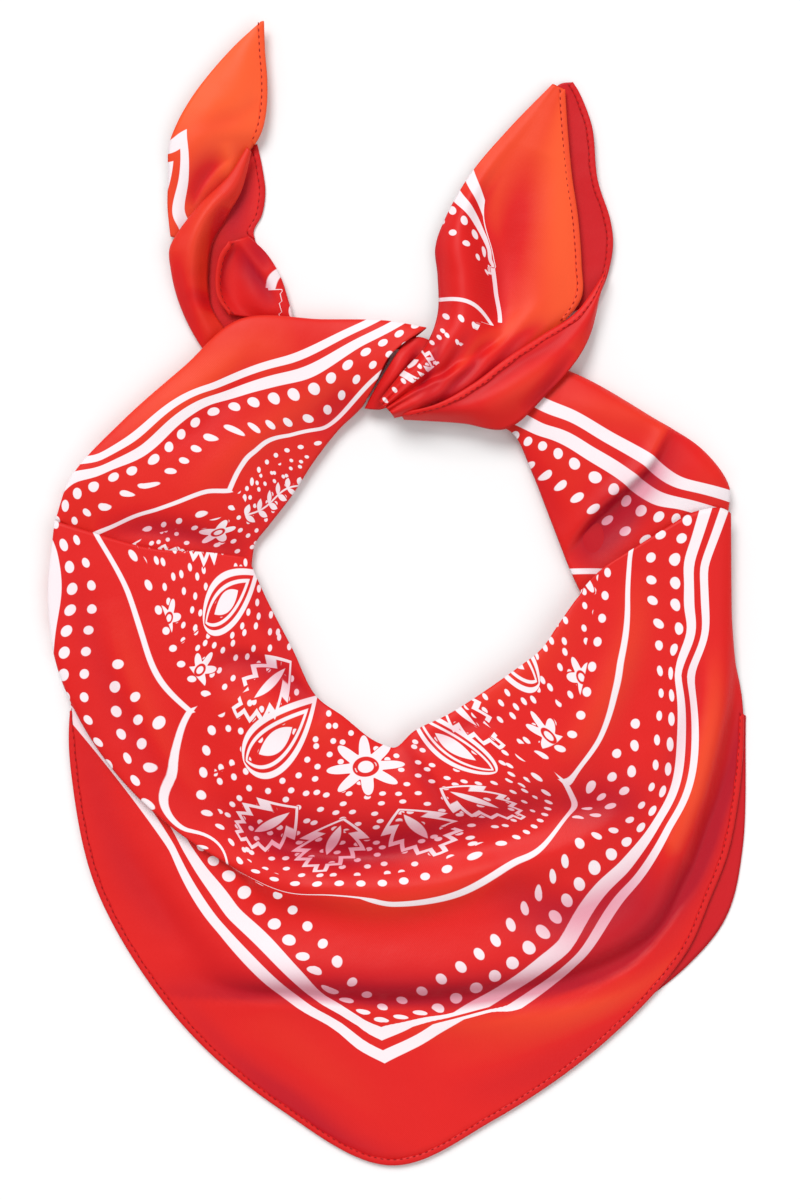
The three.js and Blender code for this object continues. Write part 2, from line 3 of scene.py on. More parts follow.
import bpy
import numpy as np
from bpy.props import FloatProperty, FloatVectorProperty, PointerProperty
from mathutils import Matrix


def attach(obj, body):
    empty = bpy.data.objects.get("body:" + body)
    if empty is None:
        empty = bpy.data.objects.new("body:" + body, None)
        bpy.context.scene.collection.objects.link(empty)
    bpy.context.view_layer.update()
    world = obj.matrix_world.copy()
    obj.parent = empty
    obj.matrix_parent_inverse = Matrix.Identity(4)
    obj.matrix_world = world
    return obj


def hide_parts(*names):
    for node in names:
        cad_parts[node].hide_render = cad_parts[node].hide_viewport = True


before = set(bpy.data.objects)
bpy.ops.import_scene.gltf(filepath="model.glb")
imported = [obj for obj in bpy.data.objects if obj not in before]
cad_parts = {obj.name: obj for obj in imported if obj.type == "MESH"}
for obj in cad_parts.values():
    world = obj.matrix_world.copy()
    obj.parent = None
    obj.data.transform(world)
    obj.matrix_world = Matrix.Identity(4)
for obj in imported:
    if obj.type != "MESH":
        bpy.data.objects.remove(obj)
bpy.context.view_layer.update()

bl_info = {
    "name": "Tied bandana",
    "version": (1, 0, 0),
    "blender": (4, 5, 0),
    "location": "View3D > Sidebar > Bandana",
    "description": "Cloth, hems, print and studio for a square satin bandana tied in a loop",
    "category": "Add Mesh",
}

MM = 0.001

# The photograph's middle and scale, for places that are given in its pixels.
PHOTO_MIDDLE = (398.0, 592.5)
MM_PER_PIXEL = 0.425

# The printed square: half its side, and the pitch of its rows of dots, in mm.
HALF_SIDE = 320.0
PITCH = 9.965

# Places on the square that lie further apart than this on neighbouring points of a free end span a hidden
# fold.
END_FOLD = 30.0

# Sections of the band and drape, in mm: the neck edge, bulge, valley, crest, tuck, roll, foot and hem.
LEFT_BAND = (
    ((-15.5, 79, 6), (-10, 88, 10.5), (-3, 101, 13), (12, 112.5, 9.5)),
    ((-19, 75.6, 5.6), (-17, 86, 10), (-13, 98, 12.6), (-5, 115.4, 9.4)),
    ((-25, 70, 5), (-26, 82, 9), (-28, 94, 12), (-32, 116, 9)),
    ((-36, 56, 5), (-43, 69, 9), (-53, 86, 12), (-67, 116, 10)),
    ((-45, 42, 5), (-56, 54, 9), (-70, 69, 11.5), (-91, 96, 8)),
    ((-55, 29, 5), (-69, 39, 9), (-87, 53, 11), (-117, 73, 8)),
    ((-61, 21, 4.6), (-79, 27, 7.4), (-102, 35, 9.5), (-139, 49, 8)),
    ((-63, 9, 3.4), (-81, 9, 4.4), (-106, 11, 5.4), (-146, 31, 5)),
)
DRAPE = (
    ((-64, 15, 8.6), (-80, 17, 9.6), (-106, 19, 9.6), (-146, 30.4, 8),
     (-145, 29.8, 6.2), (-144, 29, 5.4), (-143, 28.2, 4.8), (-141.6, 27.6, 4.6)),
    ((-56, -3, 9), (-74, -3, 11), (-106, -3, 10), (-149, -3, 7),
     (-146, -4, 3.6), (-141, -6, 3), (-137, -10, 2.8), (-133, -16, 2.6)),
    ((-45, -24, 10), (-70, -31, 12), (-102, -38, 10), (-144, -35, 7),
     (-141, -34, 3.6), (-138, -37, 2.8), (-138, -43, 2.4), (-140, -50, 2.1)),
    ((-35, -44, 10), (-62, -61, 12), (-89, -72, 9), (-123, -73, 8),
     (-118, -69, 3.8), (-123, -77, 2.6), (-130, -81, 2.3), (-139, -80, 2.1)),
    ((-23, -53, 10), (-47, -82, 12.5), (-68, -99, 7.5), (-89, -105, 9.5),
     (-84, -99, 4.4), (-100, -118, 4), (-108, -124, 2.8), (-128, -128, 2.1)),
    ((-12, -62, 9), (-26, -92, 13), (-37, -110.5, 7), (-49, -125, 10.5),
     (-56, -134, 5.4), (-70, -160, 7), (-79, -169, 3), (-94, -182, 2.1)),
    ((-6, -65, 8.4), (-15, -92.5, 13), (-21, -112.5, 7), (-28, -126, 11),
     (-30, -139, 6), (-38, -165, 9), (-42, -175, 3.2), (-51, -220, 2.1)),
    ((-1, -66, 8), (-3, -92, 13), (-2, -112.5, 7), (-5, -126, 11.5),
     (-6, -141, 6.6), (-5, -167, 9.5), (-6, -178.5, 3.2), (-3, -244.5, 2.1)),
    ((7, -59, 9), (13, -92, 13), (16, -111, 7), (16, -124, 11.5),
     (17, -138, 7), (28, -165, 9.5), (32, -175.5, 3.2), (41, -225, 2.1)),
    ((23, -51, 9), (38, -88, 12.5), (44, -105, 7), (48, -116, 11),
     (52, -129, 8), (68, -157, 9.5), (75, -167, 3.4), (88, -192, 2.1)),
    ((51, -32, 10), (65, -73, 11.5), (76, -93, 7.4), (83, -104, 10),
     (90, -113, 8.6), (104, -141, 9.5), (111, -147, 3.6), (122, -155, 2.1)),
    ((61, -24, 10.6), (73, -61, 11.5), (85, -84, 8.4), (93, -95, 10),
     (101, -104, 9.2), (116, -121, 9.5), (123, -126, 3.6), (133, -131, 2.1)),
    ((68, -14, 11), (81, -46, 11.5), (94, -72, 9.4), (103, -85, 10),
     (111, -94, 9.8), (125, -98, 9.5), (131, -101, 3.8), (142, -106, 2.1)),
    ((75, -4, 11), (88, -18, 11.5), (100, -31, 10), (110.5, -42, 10.5),
     (122, -46, 10.5), (138, -46, 9.5), (143, -48, 4.2), (147.4, -52, 2.2)),
    ((77.4, -1, 11), (89, -3, 11.5), (102, -2, 10.5), (113, -3, 10.5),
     (125, -4, 10.5), (137.5, -5.5, 9.5), (142, -6, 6), (139.6, -8, 3)),
    ((78, 1, 11), (86, 9.5, 11.5), (102, 20, 11.5), (115.5, 28.5, 11),
     (125, 34, 10.5), (137, 36, 9.6), (141.6, 33.5, 7.4), (140, 32, 5.8)),
)
RIGHT_BAND = (
    ((82, -8, 5.4), (95, -3, 6.4), (110, 9, 7), (120, 22, 7.2),
     (126.4, 32.6, 7.8), (137, 34.6, 6.8), (140.6, 33, 4), (138, 31, 2.4)),
    ((74, 8.5, 6), (83, 15, 7.6), (94, 25, 8.6), (108, 37, 9.6),
     (123, 43, 10), (135, 47, 9.4), (141, 45, 6), (138, 43, 3)),
    ((66, 29, 6), (75, 36, 9), (85, 45.5, 11), (98, 54, 11.5),
     (110.5, 58.5, 11), (123, 61.5, 9.4), (130, 60.5, 6), (128, 58, 3)),
    ((57, 52, 6), (65, 55, 9), (74, 62.5, 11), (84, 69, 11.5),
     (93.5, 73.5, 11), (103, 75.5, 9.4), (108, 74.5, 6), (106, 72, 3)),
    ((49, 68, 6), (54, 71, 8), (61, 76, 10), (68, 81.5, 10),
     (73.5, 85.5, 9.6), (80, 89, 8.4), (84, 89, 5.6), (82, 87, 3)),
    ((38, 73, 5), (42.5, 78, 6.6), (48, 84, 7.6), (53, 89, 8),
     (59, 93, 7.6), (64, 96, 7), (67, 97, 5), (65, 95, 3)),
)

# The neck edge turned under, and the left band's outer edge turned back: mm inward, and share of height
# lost.
NECK_LIP = {"inward": 3.2, "drop": 2.2}
TURN_UNDER = ((2.5, 0.42), (6, 0.6), (10, 0.66), (14, 0.7))

# The folded layers beside the neck: where each outline point lies from neck to valley, and its share of the
# room.
FOLDED_LAYERS = ((0.14, 0), (0.05, 0.2), (0.11, 0.42), (0.07, 0.64), (0.16, 0.9), (0.5, 1), (0.82, 0.82),
                 (0.97, 0.4), (0.9, 0))
ROOM = {"from_neck": 4.6, "below_cloth": 1.95, "least": 0.8}
UNDER_KNOT = (
    ((26, 76, 8), (31, 83, 10), (37, 91, 11)),
    ((12, 77, 8), (17, 86, 11), (24, 98, 12)),
    ((-2, 79, 7), (1, 88, 10), (8, 101, 10)),
)

# How far the back half of the folded square stands out past the front hem, for the drape's sections 2 to
# 13.
BACK_PEEK = (-6, -5, -4, -4, -4, -4, -4, -4, 4.5, 10.5, 6.5, 1.5)
BACK_SECTIONS = (2, 14)
BACK_START = 0.15

# The hem: width, height and lift above its cloth's middle, the pitch of its stitches, and the thread, in
# mm.
HEM = {"width": 3.0, "height": 0.9, "lift": 0.3, "stitch": 2.8, "thread": 0.55, "step": 0.7}

# Gathers of the right free end at the knot: how many, how high in mm, and the row where they have died
# away.
GATHERS = {"count": 4, "height": 1.8, "last_row": 3.6}

# Creases: height in mm, the painted light they put into the cloth's colour (below 0 painted shade in the
# fold, above 0 a painted highlight on the ridge), width to the left and right of their line in mm, and the
# line's photo pixels.
DRAPE_CREASES = (
    (-2.8, -0.75, 4, 6, ((205, 673), (234, 659), (269, 668), (299, 690), (330, 712))),
    (1.6, 0.15, 6, 7, ((210, 700), (250, 705), (300, 722), (345, 742))),
    (-2.6, -0.85, 9, 6, ((200, 800), (269, 836), (340, 855), (398, 848), (469, 822), (527, 808), (590, 808),
                         (650, 806))),
    (-1.8, -0.75, 4, 6, ((225, 815), (265, 838), (310, 852), (370, 856))),
    (0.0, -0.45, 14, 12, ((235, 812), (300, 832), (370, 838), (440, 820))),
    (0.0, -0.5, 12, 12, ((560, 802), (610, 800), (655, 806))),
    (-3.0, -1.0, 10, 14, ((498, 880), (530, 905), (575, 915), (630, 890), (672, 845))),
    (1.4, 0.2, 7, 7, ((300, 890), (370, 905), (440, 895), (500, 865))),
    (-3.0, -1.0, 8, 1.6, ((120, 992), (200, 998), (280, 1000), (338, 1001), (387, 1006), (447, 1006),
                           (505, 1002), (564, 992), (620, 972), (664, 930), (695, 870), (712, 800))),
    (0.0, -0.55, 10, 5, ((175, 985), (260, 988), (360, 990), (470, 992), (560, 975), (640, 930),
                         (690, 860))),
    (1.5, 0.3, 2.4, 7, ((360, 1024), (430, 1024), (505, 1020), (570, 1011), (632, 993), (690, 950))),
    (0.0, -0.5, 7, 7, ((748, 640), (742, 720), (726, 790), (706, 860), (668, 930), (620, 975))),
    (0.0, -0.45, 16, 22, ((215, 1075), (270, 1115), (330, 1155), (380, 1175))),
    (0.0, -0.3, 8, 8, ((75, 700), (95, 790), (130, 880), (175, 940))),
    (-1.8, -0.85, 3, 4, ((745, 700), (737, 761), (719, 820), (700, 875), (672, 925))),
    (1.6, 0.55, 6, 5, ((706, 640), (712, 700), (700, 770), (676, 840), (640, 905))),
    (-1.2, -0.5, 5, 4, ((165, 985), (234, 1062), (293, 1105), (351, 1148), (430, 1166))),
    (-1.4, -0.5, 3, 4, ((398, 748), (416, 766), (434, 790), (446, 818))),
    (-1.0, -0.45, 3, 3, ((402, 752), (436, 740), (470, 724), (505, 716))),
    (-1.3, -0.35, 5, 5, ((655, 812), (676, 760), (694, 700), (704, 640))),
    (1.4, 0.25, 7, 7, ((560, 770), (600, 710), (630, 640), (640, 570))),
    (1.2, 0.15, 8, 9, ((430, 700), (480, 690), (540, 650), (580, 600))),
    (1.4, 0.15, 7, 9, ((420, 1060), (500, 1045), (590, 1015), (660, 960), (700, 900))),
    (-1.2, -0.25, 7, 8, ((440, 1100), (520, 1080), (600, 1040), (670, 980))),
    (1.3, 0.1, 10, 12, ((240, 1010), (300, 1060), (350, 1100), (390, 1140))),
    (-1.0, -0.2, 8, 8, ((110, 830), (150, 900), (210, 960), (270, 1010))),
    (-1.3, -0.3, 5, 7, ((75, 560), (95, 640), (130, 720), (175, 790), (215, 830))),
    (1.2, 0.15, 7, 8, ((110, 600), (128, 670), (160, 750), (205, 820))),
    (-1.0, -0.35, 4, 4, ((255, 560), (262, 610), (285, 650), (300, 690))),
)
LEFT_BAND_CREASES = (
    (-2.0, -0.85, 6, 4, ((96, 534), (141, 529), (187, 535), (222, 545), (252, 556))),
    (-1.2, -0.25, 6, 6, ((262, 345), (240, 380), (205, 420), (150, 450))),
    (1.2, 0.15, 8, 8, ((90, 470), (150, 420), (220, 370), (300, 345))),
    (0.0, 0.28, 12, 14, ((115, 435), (180, 385), (240, 350), (300, 332))),
    (-1.0, -0.3, 5, 5, ((300, 470), (270, 500), (250, 535), (244, 560))),
    (-1.2, -0.45, 4, 5, ((356, 392), (345, 405), (330, 420), (318, 440))),
    (1.0, 0.15, 6, 6, ((180, 500), (240, 450), (300, 405), (360, 370))),
)
RIGHT_BAND_CREASES = (
    (2.4, 0.2, 2, 5, ((686, 404), (664, 438), (654, 458), (634, 478), (610, 498), (586, 520), (562, 548))),
    (0.0, -0.6, 12, 8, ((655, 450), (630, 482), (606, 510), (588, 545))),
    (-2.8, -1.0, 10, 1.5, ((676, 420), (662, 448), (654, 464), (638, 482), (616, 502), (592, 526),
                           (566, 560))),
    (-2.0, -0.8, 8, 8, ((640, 500), (616, 525), (598, 548), (586, 575))),
    (1.0, 0.15, 6, 6, ((560, 398), (610, 410), (650, 420), (680, 440))),
    (-1.0, -0.3, 5, 5, ((508, 436), (530, 470), (552, 510), (568, 548))),
)
RIGHT_END_CREASES = (
    (-1.8, -0.62, 9, 10, ((504, 330), (506, 290), (512, 240), (524, 190), (538, 150))),
    (0.8, 0.15, 8, 6, ((548, 320), (556, 260), (560, 200), (560, 150), (562, 110))),
    (-1.2, -0.35, 5, 3, ((448, 330), (440, 290), (438, 250), (444, 215))),
    (-1.5, -0.75, 3, 4, ((452, 410), (476, 388), (500, 362), (522, 338), (548, 322))),
    (1.2, 0.25, 4, 4, ((430, 398), (462, 362), (492, 336), (520, 318), (545, 305))),
    (-1.6, -0.8, 2.4, 2.4, ((498, 340), (483, 352), (471, 370), (454, 387), (438, 402), (418, 411))),
    (-1.6, -0.8, 2.2, 2.2, ((441, 335), (436, 352), (431, 368), (423, 385), (412, 401))),
    (-1.2, -0.5, 2.4, 2.4, ((470, 330), (458, 352), (446, 372), (432, 392), (420, 406))),
)
FLAP_CREASES = (
    (-1.0, -0.5, 3, 2, ((590, 300), (560, 338), (515, 366), (467, 399), (422, 420))),
    (1.2, 0.2, 6, 6, ((590, 330), (566, 360), (530, 385), (480, 410))),
    (-1.4, -0.7, 2, 4, ((574, 350), (558, 376), (540, 398), (524, 414))),
)
KNOT_CREASES = (
    (-1.8, -0.9, 2.4, 2.4, ((420, 345), (415, 358), (410, 373), (399, 393), (384, 404))),
    (-1.4, -0.7, 2, 3, ((392, 338), (386, 354), (378, 372), (366, 390))),
    (1.0, 0.1, 3, 3, ((405, 340), (400, 356), (392, 374), (380, 392))),
)
LEFT_ROLL_CREASES = (
    (-2.4, -1.0, 4, 3, ((226, 205), (220, 226), (218, 250), (222, 275), (232, 298))),
    (1.2, 0.2, 4, 3, ((222, 190), (206, 212), (196, 240), (192, 275))),
    (-1.2, -0.6, 3, 3, ((185, 292), (211, 302), (236, 307), (257, 312))),
    (-1.0, -0.35, 3, 4, ((176, 250), (180, 285), (190, 320), (205, 350))),
)
LEFT_SIDE_CREASES = (
    (-2.0, -1.0, 1.6, 5, ((236, 244), (243, 254), (254, 270), (266, 286), (276, 306))),
    (-1.2, -0.7, 4, 4, ((246, 238), (258, 250), (270, 268))),
    (0.8, 0.3, 2.4, 2, ((232, 238), (222, 250), (216, 266), (217, 284), (226, 298))),
    (-0.9, -0.5, 1.4, 3, ((238, 244), (228, 256), (222, 270), (222, 284), (230, 296))),
)
LEFT_BACK_CREASES = (
    (-0.4, -0.6, 4, 4, ((238, 160), (240, 185), (234, 212), (226, 240))),
    (0.4, 0.4, 3, 3, ((254, 150), (262, 180), (258, 210), (250, 232))),
)
LEFT_LEAF_CREASES = (
    (1.0, 0.35, 3, 5, ((226, 140), (228, 155), (226, 180))),
    (-1.2, -0.75, 1.4, 6, ((230, 154), (214, 166), (200, 184), (190, 206))),
    (-0.9, -0.5, 5, 4, ((234, 172), (222, 186), (208, 202), (198, 216))),
    (0.8, 0.2, 5, 6, ((248, 30), (244, 60), (240, 90), (236, 120))),
    (-0.7, -0.25, 4, 5, ((262, 95), (240, 112), (215, 122), (190, 130))),
)

# The free ends and the turn at the knot. Each row is a section from the knot out to the tip.
RIGHT_END_FRONT = (
    ((-8, 81, 14.15), (-6.6, 79.6, 15.15), (-5.2, 78.4, 14.75), (-4, 77.2, 15.15), (-1.4, 74.2, 12.8)),
    ((2, 93.5, 13.65), (5, 90, 18.15), (8, 87.6, 15.65), (11, 84.8, 18.15), (16, 78, 13.6)),
    ((12, 105, 12.3), (17, 102, 18.8), (23, 96, 15.3), (27, 91.5, 17.8), (34, 84, 13.4)),
    ((17, 119, 7.4), (27, 116, 15.4), (43, 111, 8.4), (54, 112, 9.9), (70, 115, 5.9)),
    ((17, 135, 6), (28, 132.5, 13.5), (42, 128.5, 6.5), (59, 128, 8), (78, 126, 5)),
    ((16, 147, 5.5), (26, 146, 12), (40, 143, 5.6), (58, 143, 7.5), (78, 140, 5)),
    ((20, 159, 5), (27, 160, 9.5), (36, 161, 5.2), (55, 160, 7.5), (76.5, 160, 5)),
    ((31, 178.5, 4.6), (36, 177, 6.5), (40, 175, 5.6), (54, 175, 7), (74, 177, 5)),
    ((47.5, 198, 4.4), (52, 198, 5.6), (56, 198, 5.8), (63, 198, 6), (72, 198.5, 4.8)),
    ((66, 217, 4), (67, 216.6, 4.4), (68, 216, 4.4), (69.4, 215.4, 4.4), (71, 214.6, 4)),
)
RIGHT_END_BACK = (
    ((66, 215, 1.4), (70, 217.6, 1.6), (74.5, 218, 2.2)),
    ((68, 211, 1.4), (72, 214, 1.6), (77, 214, 2.4)),
    ((66, 197, 1.2), (75, 198, 1.6), (82.6, 199, 2.8)),
    ((66, 178, 1.2), (76, 177, 1.6), (85, 176.4, 3)),
    ((68, 160, 1.2), (80, 159.6, 1.6), (90.4, 159.2, 3)),
    ((70, 146, 1.2), (82, 147, 1.6), (91.6, 148.4, 3)),
    ((70, 131, 1.2), (80, 132, 1.6), (89, 134.6, 2.2)),
    ((66, 119, 1.2), (74, 120, 1.4), (84, 123, 1.8)),
)
RIGHT_END_FLAP = (
    ((89, 137.6, 5.2), (88.4, 134.6, 6.6), (86.4, 129, 5)),
    ((76, 119, 9.5), (80, 115.6, 10.7), (82, 110.6, 7.3)),
    ((61.6, 109.2, 12.3), (69, 103.5, 13.7), (76, 99, 10.1)),
    ((46.8, 99.4, 15.9), (55.5, 91.5, 17.3), (63, 84, 12.9)),
    ((32.4, 88.4, 18.15), (40, 80.6, 19.15), (46, 69.6, 12.15)),
    ((17, 79.8, 18.15), (22.6, 77, 18.15), (27, 72, 11.75)),
    ((0.6, 76, 13.55), (1.6, 75, 13.35), (2.6, 73.6, 10.75)),
)
LEFT_END_LEAF = (
    ((-58.6, 243.2, 6), (-58.2, 243.4, 6), (-57.8, 243.5, 6), (-57.4, 243.5, 6)),
    ((-70, 232.5, 6), (-66, 232.2, 7), (-61.5, 231.7, 7), (-57, 231, 6)),
    ((-79.5, 222, 6), (-72.5, 221, 7.8), (-64.5, 219.7, 7.6), (-56, 218, 6)),
    ((-87.6, 211.4, 6), (-78, 209.6, 8.4), (-67.5, 207.4, 7.8), (-56.4, 205.4, 6)),
    ((-94, 200.4, 5.6), (-83, 198.4, 8.4), (-71, 196.6, 7.4), (-58.5, 196, 6)),
    ((-97.8, 190, 5), (-87.4, 187.6, 7.6), (-75, 186, 4.6), (-63.6, 188, 3.6)),
    ((-98, 178, 4), (-91, 176, 6), (-83, 174, 3.4), (-74, 173, 3)),
    ((-98.4, 165, 3), (-94.4, 164, 3.8), (-90, 162.4, 2.8), (-84, 160, 2.6)),
    ((-97.2, 152, 2.6), (-95, 151.4, 2.8), (-93, 150.6, 2.6), (-90.6, 149.6, 2.4)),
)
LEFT_END_BACK = (
    ((-65.6, 190, 0.6), (-63, 191, 0.6), (-60.4, 191.6, 0.6)),
    ((-72, 182, 0.6), (-64, 181.6, 0.6), (-58.2, 181.2, 0.6)),
    ((-80, 171, 0.6), (-68, 171.2, 0.6), (-57, 171.2, 0.6)),
    ((-86, 161, 0.6), (-71, 161.4, 0.6), (-58.4, 161.6, 0.6)),
    ((-89, 152.6, 0.6), (-75, 153, 0.6), (-62, 153.6, 0.6)),
    ((-91, 143, 0.6), (-75, 144, 0.6), (-57.6, 145, 0.6)),
    ((-91, 131, 0.6), (-72, 133, 0.6), (-50.6, 135, 0.6)),
    ((-87, 119.5, 0.6), (-66, 121.5, 0.6), (-47.4, 124.6, 0.6)),
    ((-79, 109, 0.6), (-60, 112, 0.6), (-44.6, 115.6, 0.6)),
)
LEFT_END_ROLL = (
    ((-64, 188.6, 6.4), (-64.2, 189.6, 7), (-63.4, 188.8, 7.4), (-62.6, 187.6, 6.4)),
    ((-70.8, 175.6, 5.6), (-72.4, 177, 6.8), (-69.4, 174, 8), (-67, 171, 4.8)),
    ((-81.6, 164.6, 5), (-84, 165.6, 6.4), (-78, 165, 9), (-71.6, 163, 4)),
    ((-90, 153.6, 5), (-92.8, 154.6, 6.4), (-84.6, 156, 9.6), (-75.4, 156.4, 3.4)),
    ((-94, 145.8, 5), (-97.2, 146.4, 6.2), (-88, 147, 10), (-79.6, 148.6, 3.2)),
    ((-93.4, 137.4, 3.4), (-96.6, 137, 5.4), (-88.6, 138, 10), (-81, 139, 3)),
    ((-91.2, 127.4, 2.8), (-94.2, 126.4, 4.8), (-87.6, 127.4, 9), (-81, 129, 3)),
    ((-87.4, 117.2, 2.4), (-90, 115.8, 4), (-84.4, 118, 7), (-79, 120.4, 2.8)),
    ((-82.6, 108.6, 2.2), (-85, 106.8, 3), (-80, 109.4, 4.4), (-74.4, 113, 2.4)),
    ((-79.4, 103, 2.1), (-81, 101.5, 2.2), (-77, 105, 2.4), (-72, 109.4, 2.2)),
)
LEFT_END_SIDE = (
    ((-72, 149.4, 6.6), (-69.4, 150, 6.4), (-67, 150.8, 6.2), (-64, 151.8, 5), (-65.2, 150.8, 3.2)),
    ((-75.6, 144, 8), (-70.6, 142.6, 4), (-64.6, 143.4, 6.4), (-56.6, 145, 4.6), (-59, 143.4, 2.6)),
    ((-77.6, 134.6, 8.4), (-71.6, 133, 3), (-61.6, 133.4, 6), (-50.4, 135, 4.4), (-53.4, 133.6, 2.4)),
    ((-76.8, 125.6, 7), (-70, 124.4, 2.6), (-58.6, 124, 5.4), (-46.8, 124, 4), (-49.8, 123, 2.2)),
    ((-72, 118.6, 3.6), (-64, 117.6, 2.4), (-55, 116.6, 3.4), (-44.6, 115.6, 3), (-47, 114.6, 2.1)),
)
KNOT_WRAP = (
    ((3.4, 107.4, 9.2), (8.6, 108.6, 9.6), (12.6, 107.6, 9.2), (16.6, 104.6, 9)),
    ((-1.4, 100, 11.4), (4, 101, 12.4), (9, 100.6, 11.6), (14, 99.4, 11.4)),
    ((-7, 91, 10.2), (-2, 92, 12.6), (3, 91.6, 11.4), (8, 90.6, 12)),
    ((-11.2, 84, 8), (-7, 85, 11), (-2.4, 84.6, 10), (2.2, 84, 11)),
    ((-14.2, 78.4, 5.6), (-11, 78, 7.6), (-7.4, 78, 7.4), (-3.6, 79, 9)),
)

# The print's straight rows: two stripes, rows of dots, plain cloth and the edge, by their depth from the
# square's middle in mm.
ROWS = {"outer": 275.0, "inner": 263.25, "big": 254.1, "small": 244.1, "filler": 230.0, "second": 221.0,
        "single": 213.0, "plain": 238.0, "edge": HALF_SIDE}

# The scalloped frame line on the folded square, in mm: its arch, corner and tail, and its scallop on the
# right free end. Then the depth, dots and pitch of the row of dots inside it.
LINE = 1.3
ARCH = {"depth": 231, "slope": 0.14375, "bend": 0.0032, "half": 81.2}
CORNER = {"centre": (147.9, 147.9), "radius": 85}
TAIL = {"depth": 237, "drop": 15, "from": -80, "over": 50}
FAR_ARC = {"centre": (-112.0, 168.4), "radius": 66.4, "from": -150}
INNER_DOTS = {"depth": 12.0, "radius": 1.9, "round": PITCH / 1.13}
SPECKS = {"scale": 90.0, "radius": 1.35}

# The triangle of dots on each cusp: the row, its dots' radius in mm, their offset, and half its pitches.
CUSP_DOTS = (("filler", 2.35, 0.0, 3.5), ("second", 2.1, 0.5, 2), ("single", 2.6, 0.0, 0.5))

# Landmarks of the print, to lay it on the folded cloth: the side of the square, the row of the print, the
# first mark's place along the side and the step to the next, both in pitches, and the marks' places in
# photo pixels.
DRAPE_MARKS = (
    ("left", "big", 24.5, -2, ((363, 1015), (331.5, 993), (303, 958), (274, 925), (244, 893), (212, 862))),
    ("left", "small", 23.5, -1, ((366.7, 995.8), (351.8, 978.4), (337, 961))),
    ("left", "big", 5.5, -2, ((63, 675), (66, 631), (72, 589), (64, 545))),
    ("left", "small", 9.5, -2, ((109, 764), (87.5, 720), (84, 674), (88, 630), (91, 585), (76, 540))),
    ("left", "filler", 5, 2, ((118, 664), (116, 712), (127, 759), (147, 804))),
    ("left", "second", 6.5, 1, ((135, 697), (138, 720), (141, 744), (148, 768))),
    ("left", "single", 8, 1, ((159, 722),)),
    ("right", "big", 22.5, -2, ((438.5, 1011.3), (476.7, 989), (512.5, 963.6), (542.3, 932), (567.3, 901),
        (594.8, 868.4), (626.8, 842))),
    ("right", "big", 2.5, -2, ((671.3, 674), (679.8, 629.4), (676.2, 583.5), (682.2, 538))),
    ("right", "small", 23.5, -2, ((401.8, 1002), (441.3, 979), (479.4, 954.3), (511.2, 925.8),
        (538.4, 895.3), (564.6, 862), (596.9, 835.7), (630.5, 820), (652, 787), (657, 740), (661.5, 693),
        (659, 645), (651.6, 600), (650, 557.5))),
    ("right", "filler", 5, 2, ((635.5, 723.6), (631.6, 772.4), (609.9, 806.6), (577.4, 816.8))),
    ("right", "second", 6.5, 1, ((617, 752.6), (612.7, 777), (602, 797.5), (588.2, 809.5))),
    ("right", "single", 8, 1, ((590, 786.3),)),
)

# Places on the stripes and the scalloped frame line: the side and row, then each place's distance along the
# side in mm, counted from the side's middle, and its photo pixels.
DRAPE_LINES = (
    ("right", "inner", ((210.8, 473, 1010.7), (164.3, 564, 949), (114.8, 622.7, 870), (24.9, 677, 674.6),
        (-3.2, 689.5, 610), (-29, 692.4, 552), (-44.8, 701, 525))),
    ("right", "outer", ((196.3, 517, 1007.7), (167, 572.8, 963.7), (123.3, 622.7, 896), (85.3, 669.6, 825.9),
        (6.4, 705, 632.5), (-22, 704, 567.5), (-45, 720, 522))),
    ("left", "inner", ((234.8, 323.5, 1001.9), (221, 300, 979.9))),
    ("left", "outer", ((247, 329, 1022.4), (232.8, 300, 1006))),
    ("left", "side_arch", ((35, 143, 638), (15, 127, 590), (0, 103, 546))),
    ("right", "side_arch", ((55, 599, 740), (35, 614, 694.5), (22.5, 620, 663), (-2, 627.5, 606),
        (-20, 629, 567))),
    ("left", "corner_arc", ((0, 190, 711), (0.09, 178, 740), (0.19, 173, 775), (0.36, 185, 830),
        (0.54, 230, 873), (0.65, 265, 888), (0.84, 330, 900), (1, 385, 904))),
    ("right", "corner_arc", ((0, 564.8, 782.3), (0.06, 574, 801), (0.66, 518.6, 860), (0.75, 470.6, 888),
        (0.86, 433.6, 900))),
)
PANEL_DOTS = (
    DRAPE_MARKS[0],
    ("left", "small", 23.5, -2, ((366.7, 995.8), (337, 961), (307, 927), (278, 894.6), (249, 862))),
)
PANEL_LINES = (
    ("left", "outer", ((275, 383.6, 1059), (263, 358.7, 1045.9), (247, 329, 1022.4), (232.8, 300, 1006))),
    ("right", "outer", ((259, 417, 1043), (248.8, 437.9, 1029.7))),
    ("left", "inner", ((263.25, 381.3, 1035.6), (252, 358.7, 1022.4), (243.4, 341, 1012),
        (234.8, 323.5, 1001.9), (221, 300, 979.9))),
    ("right", "inner", ((252, 405.6, 1025.3),)),
    ("left", "big", ((254.1, 381.1, 1020.4),)),
    ("left", "outer", ((170, 221, 930), (131, 172, 850))),
    ("left", "inner", ((168, 232, 915), (129, 183, 845))),
)
FRONT_FOLD = ((338, 1008), (382, 1019.5), (447, 1017), (505, 1014), (564, 1005), (623, 990), (690, 960))
PANEL_EDGE = (
    ("left", "edge", ((319.9, 400, 1167), (263, 278, 1110), (205.6, 176.8, 1020.7))),
    ("right", "edge", ((275.5, 494.5, 1122), (218, 605, 1044), (167.7, 685, 957), (141.5, 711, 901))),
)
LEFT_BAND_MARKS = (
    ("left", "big", -1.5, -2, ((56, 522), (77, 493), (114, 476), (154, 459), (181, 434), (213, 411),
        (253, 402), (293, 394), (331, 378), (366, 352), (399, 334))),
    ("left", "small", -2.5, -2, ((73.5, 520), (103.5, 508), (144, 487), (184, 461), (209, 438))),
)
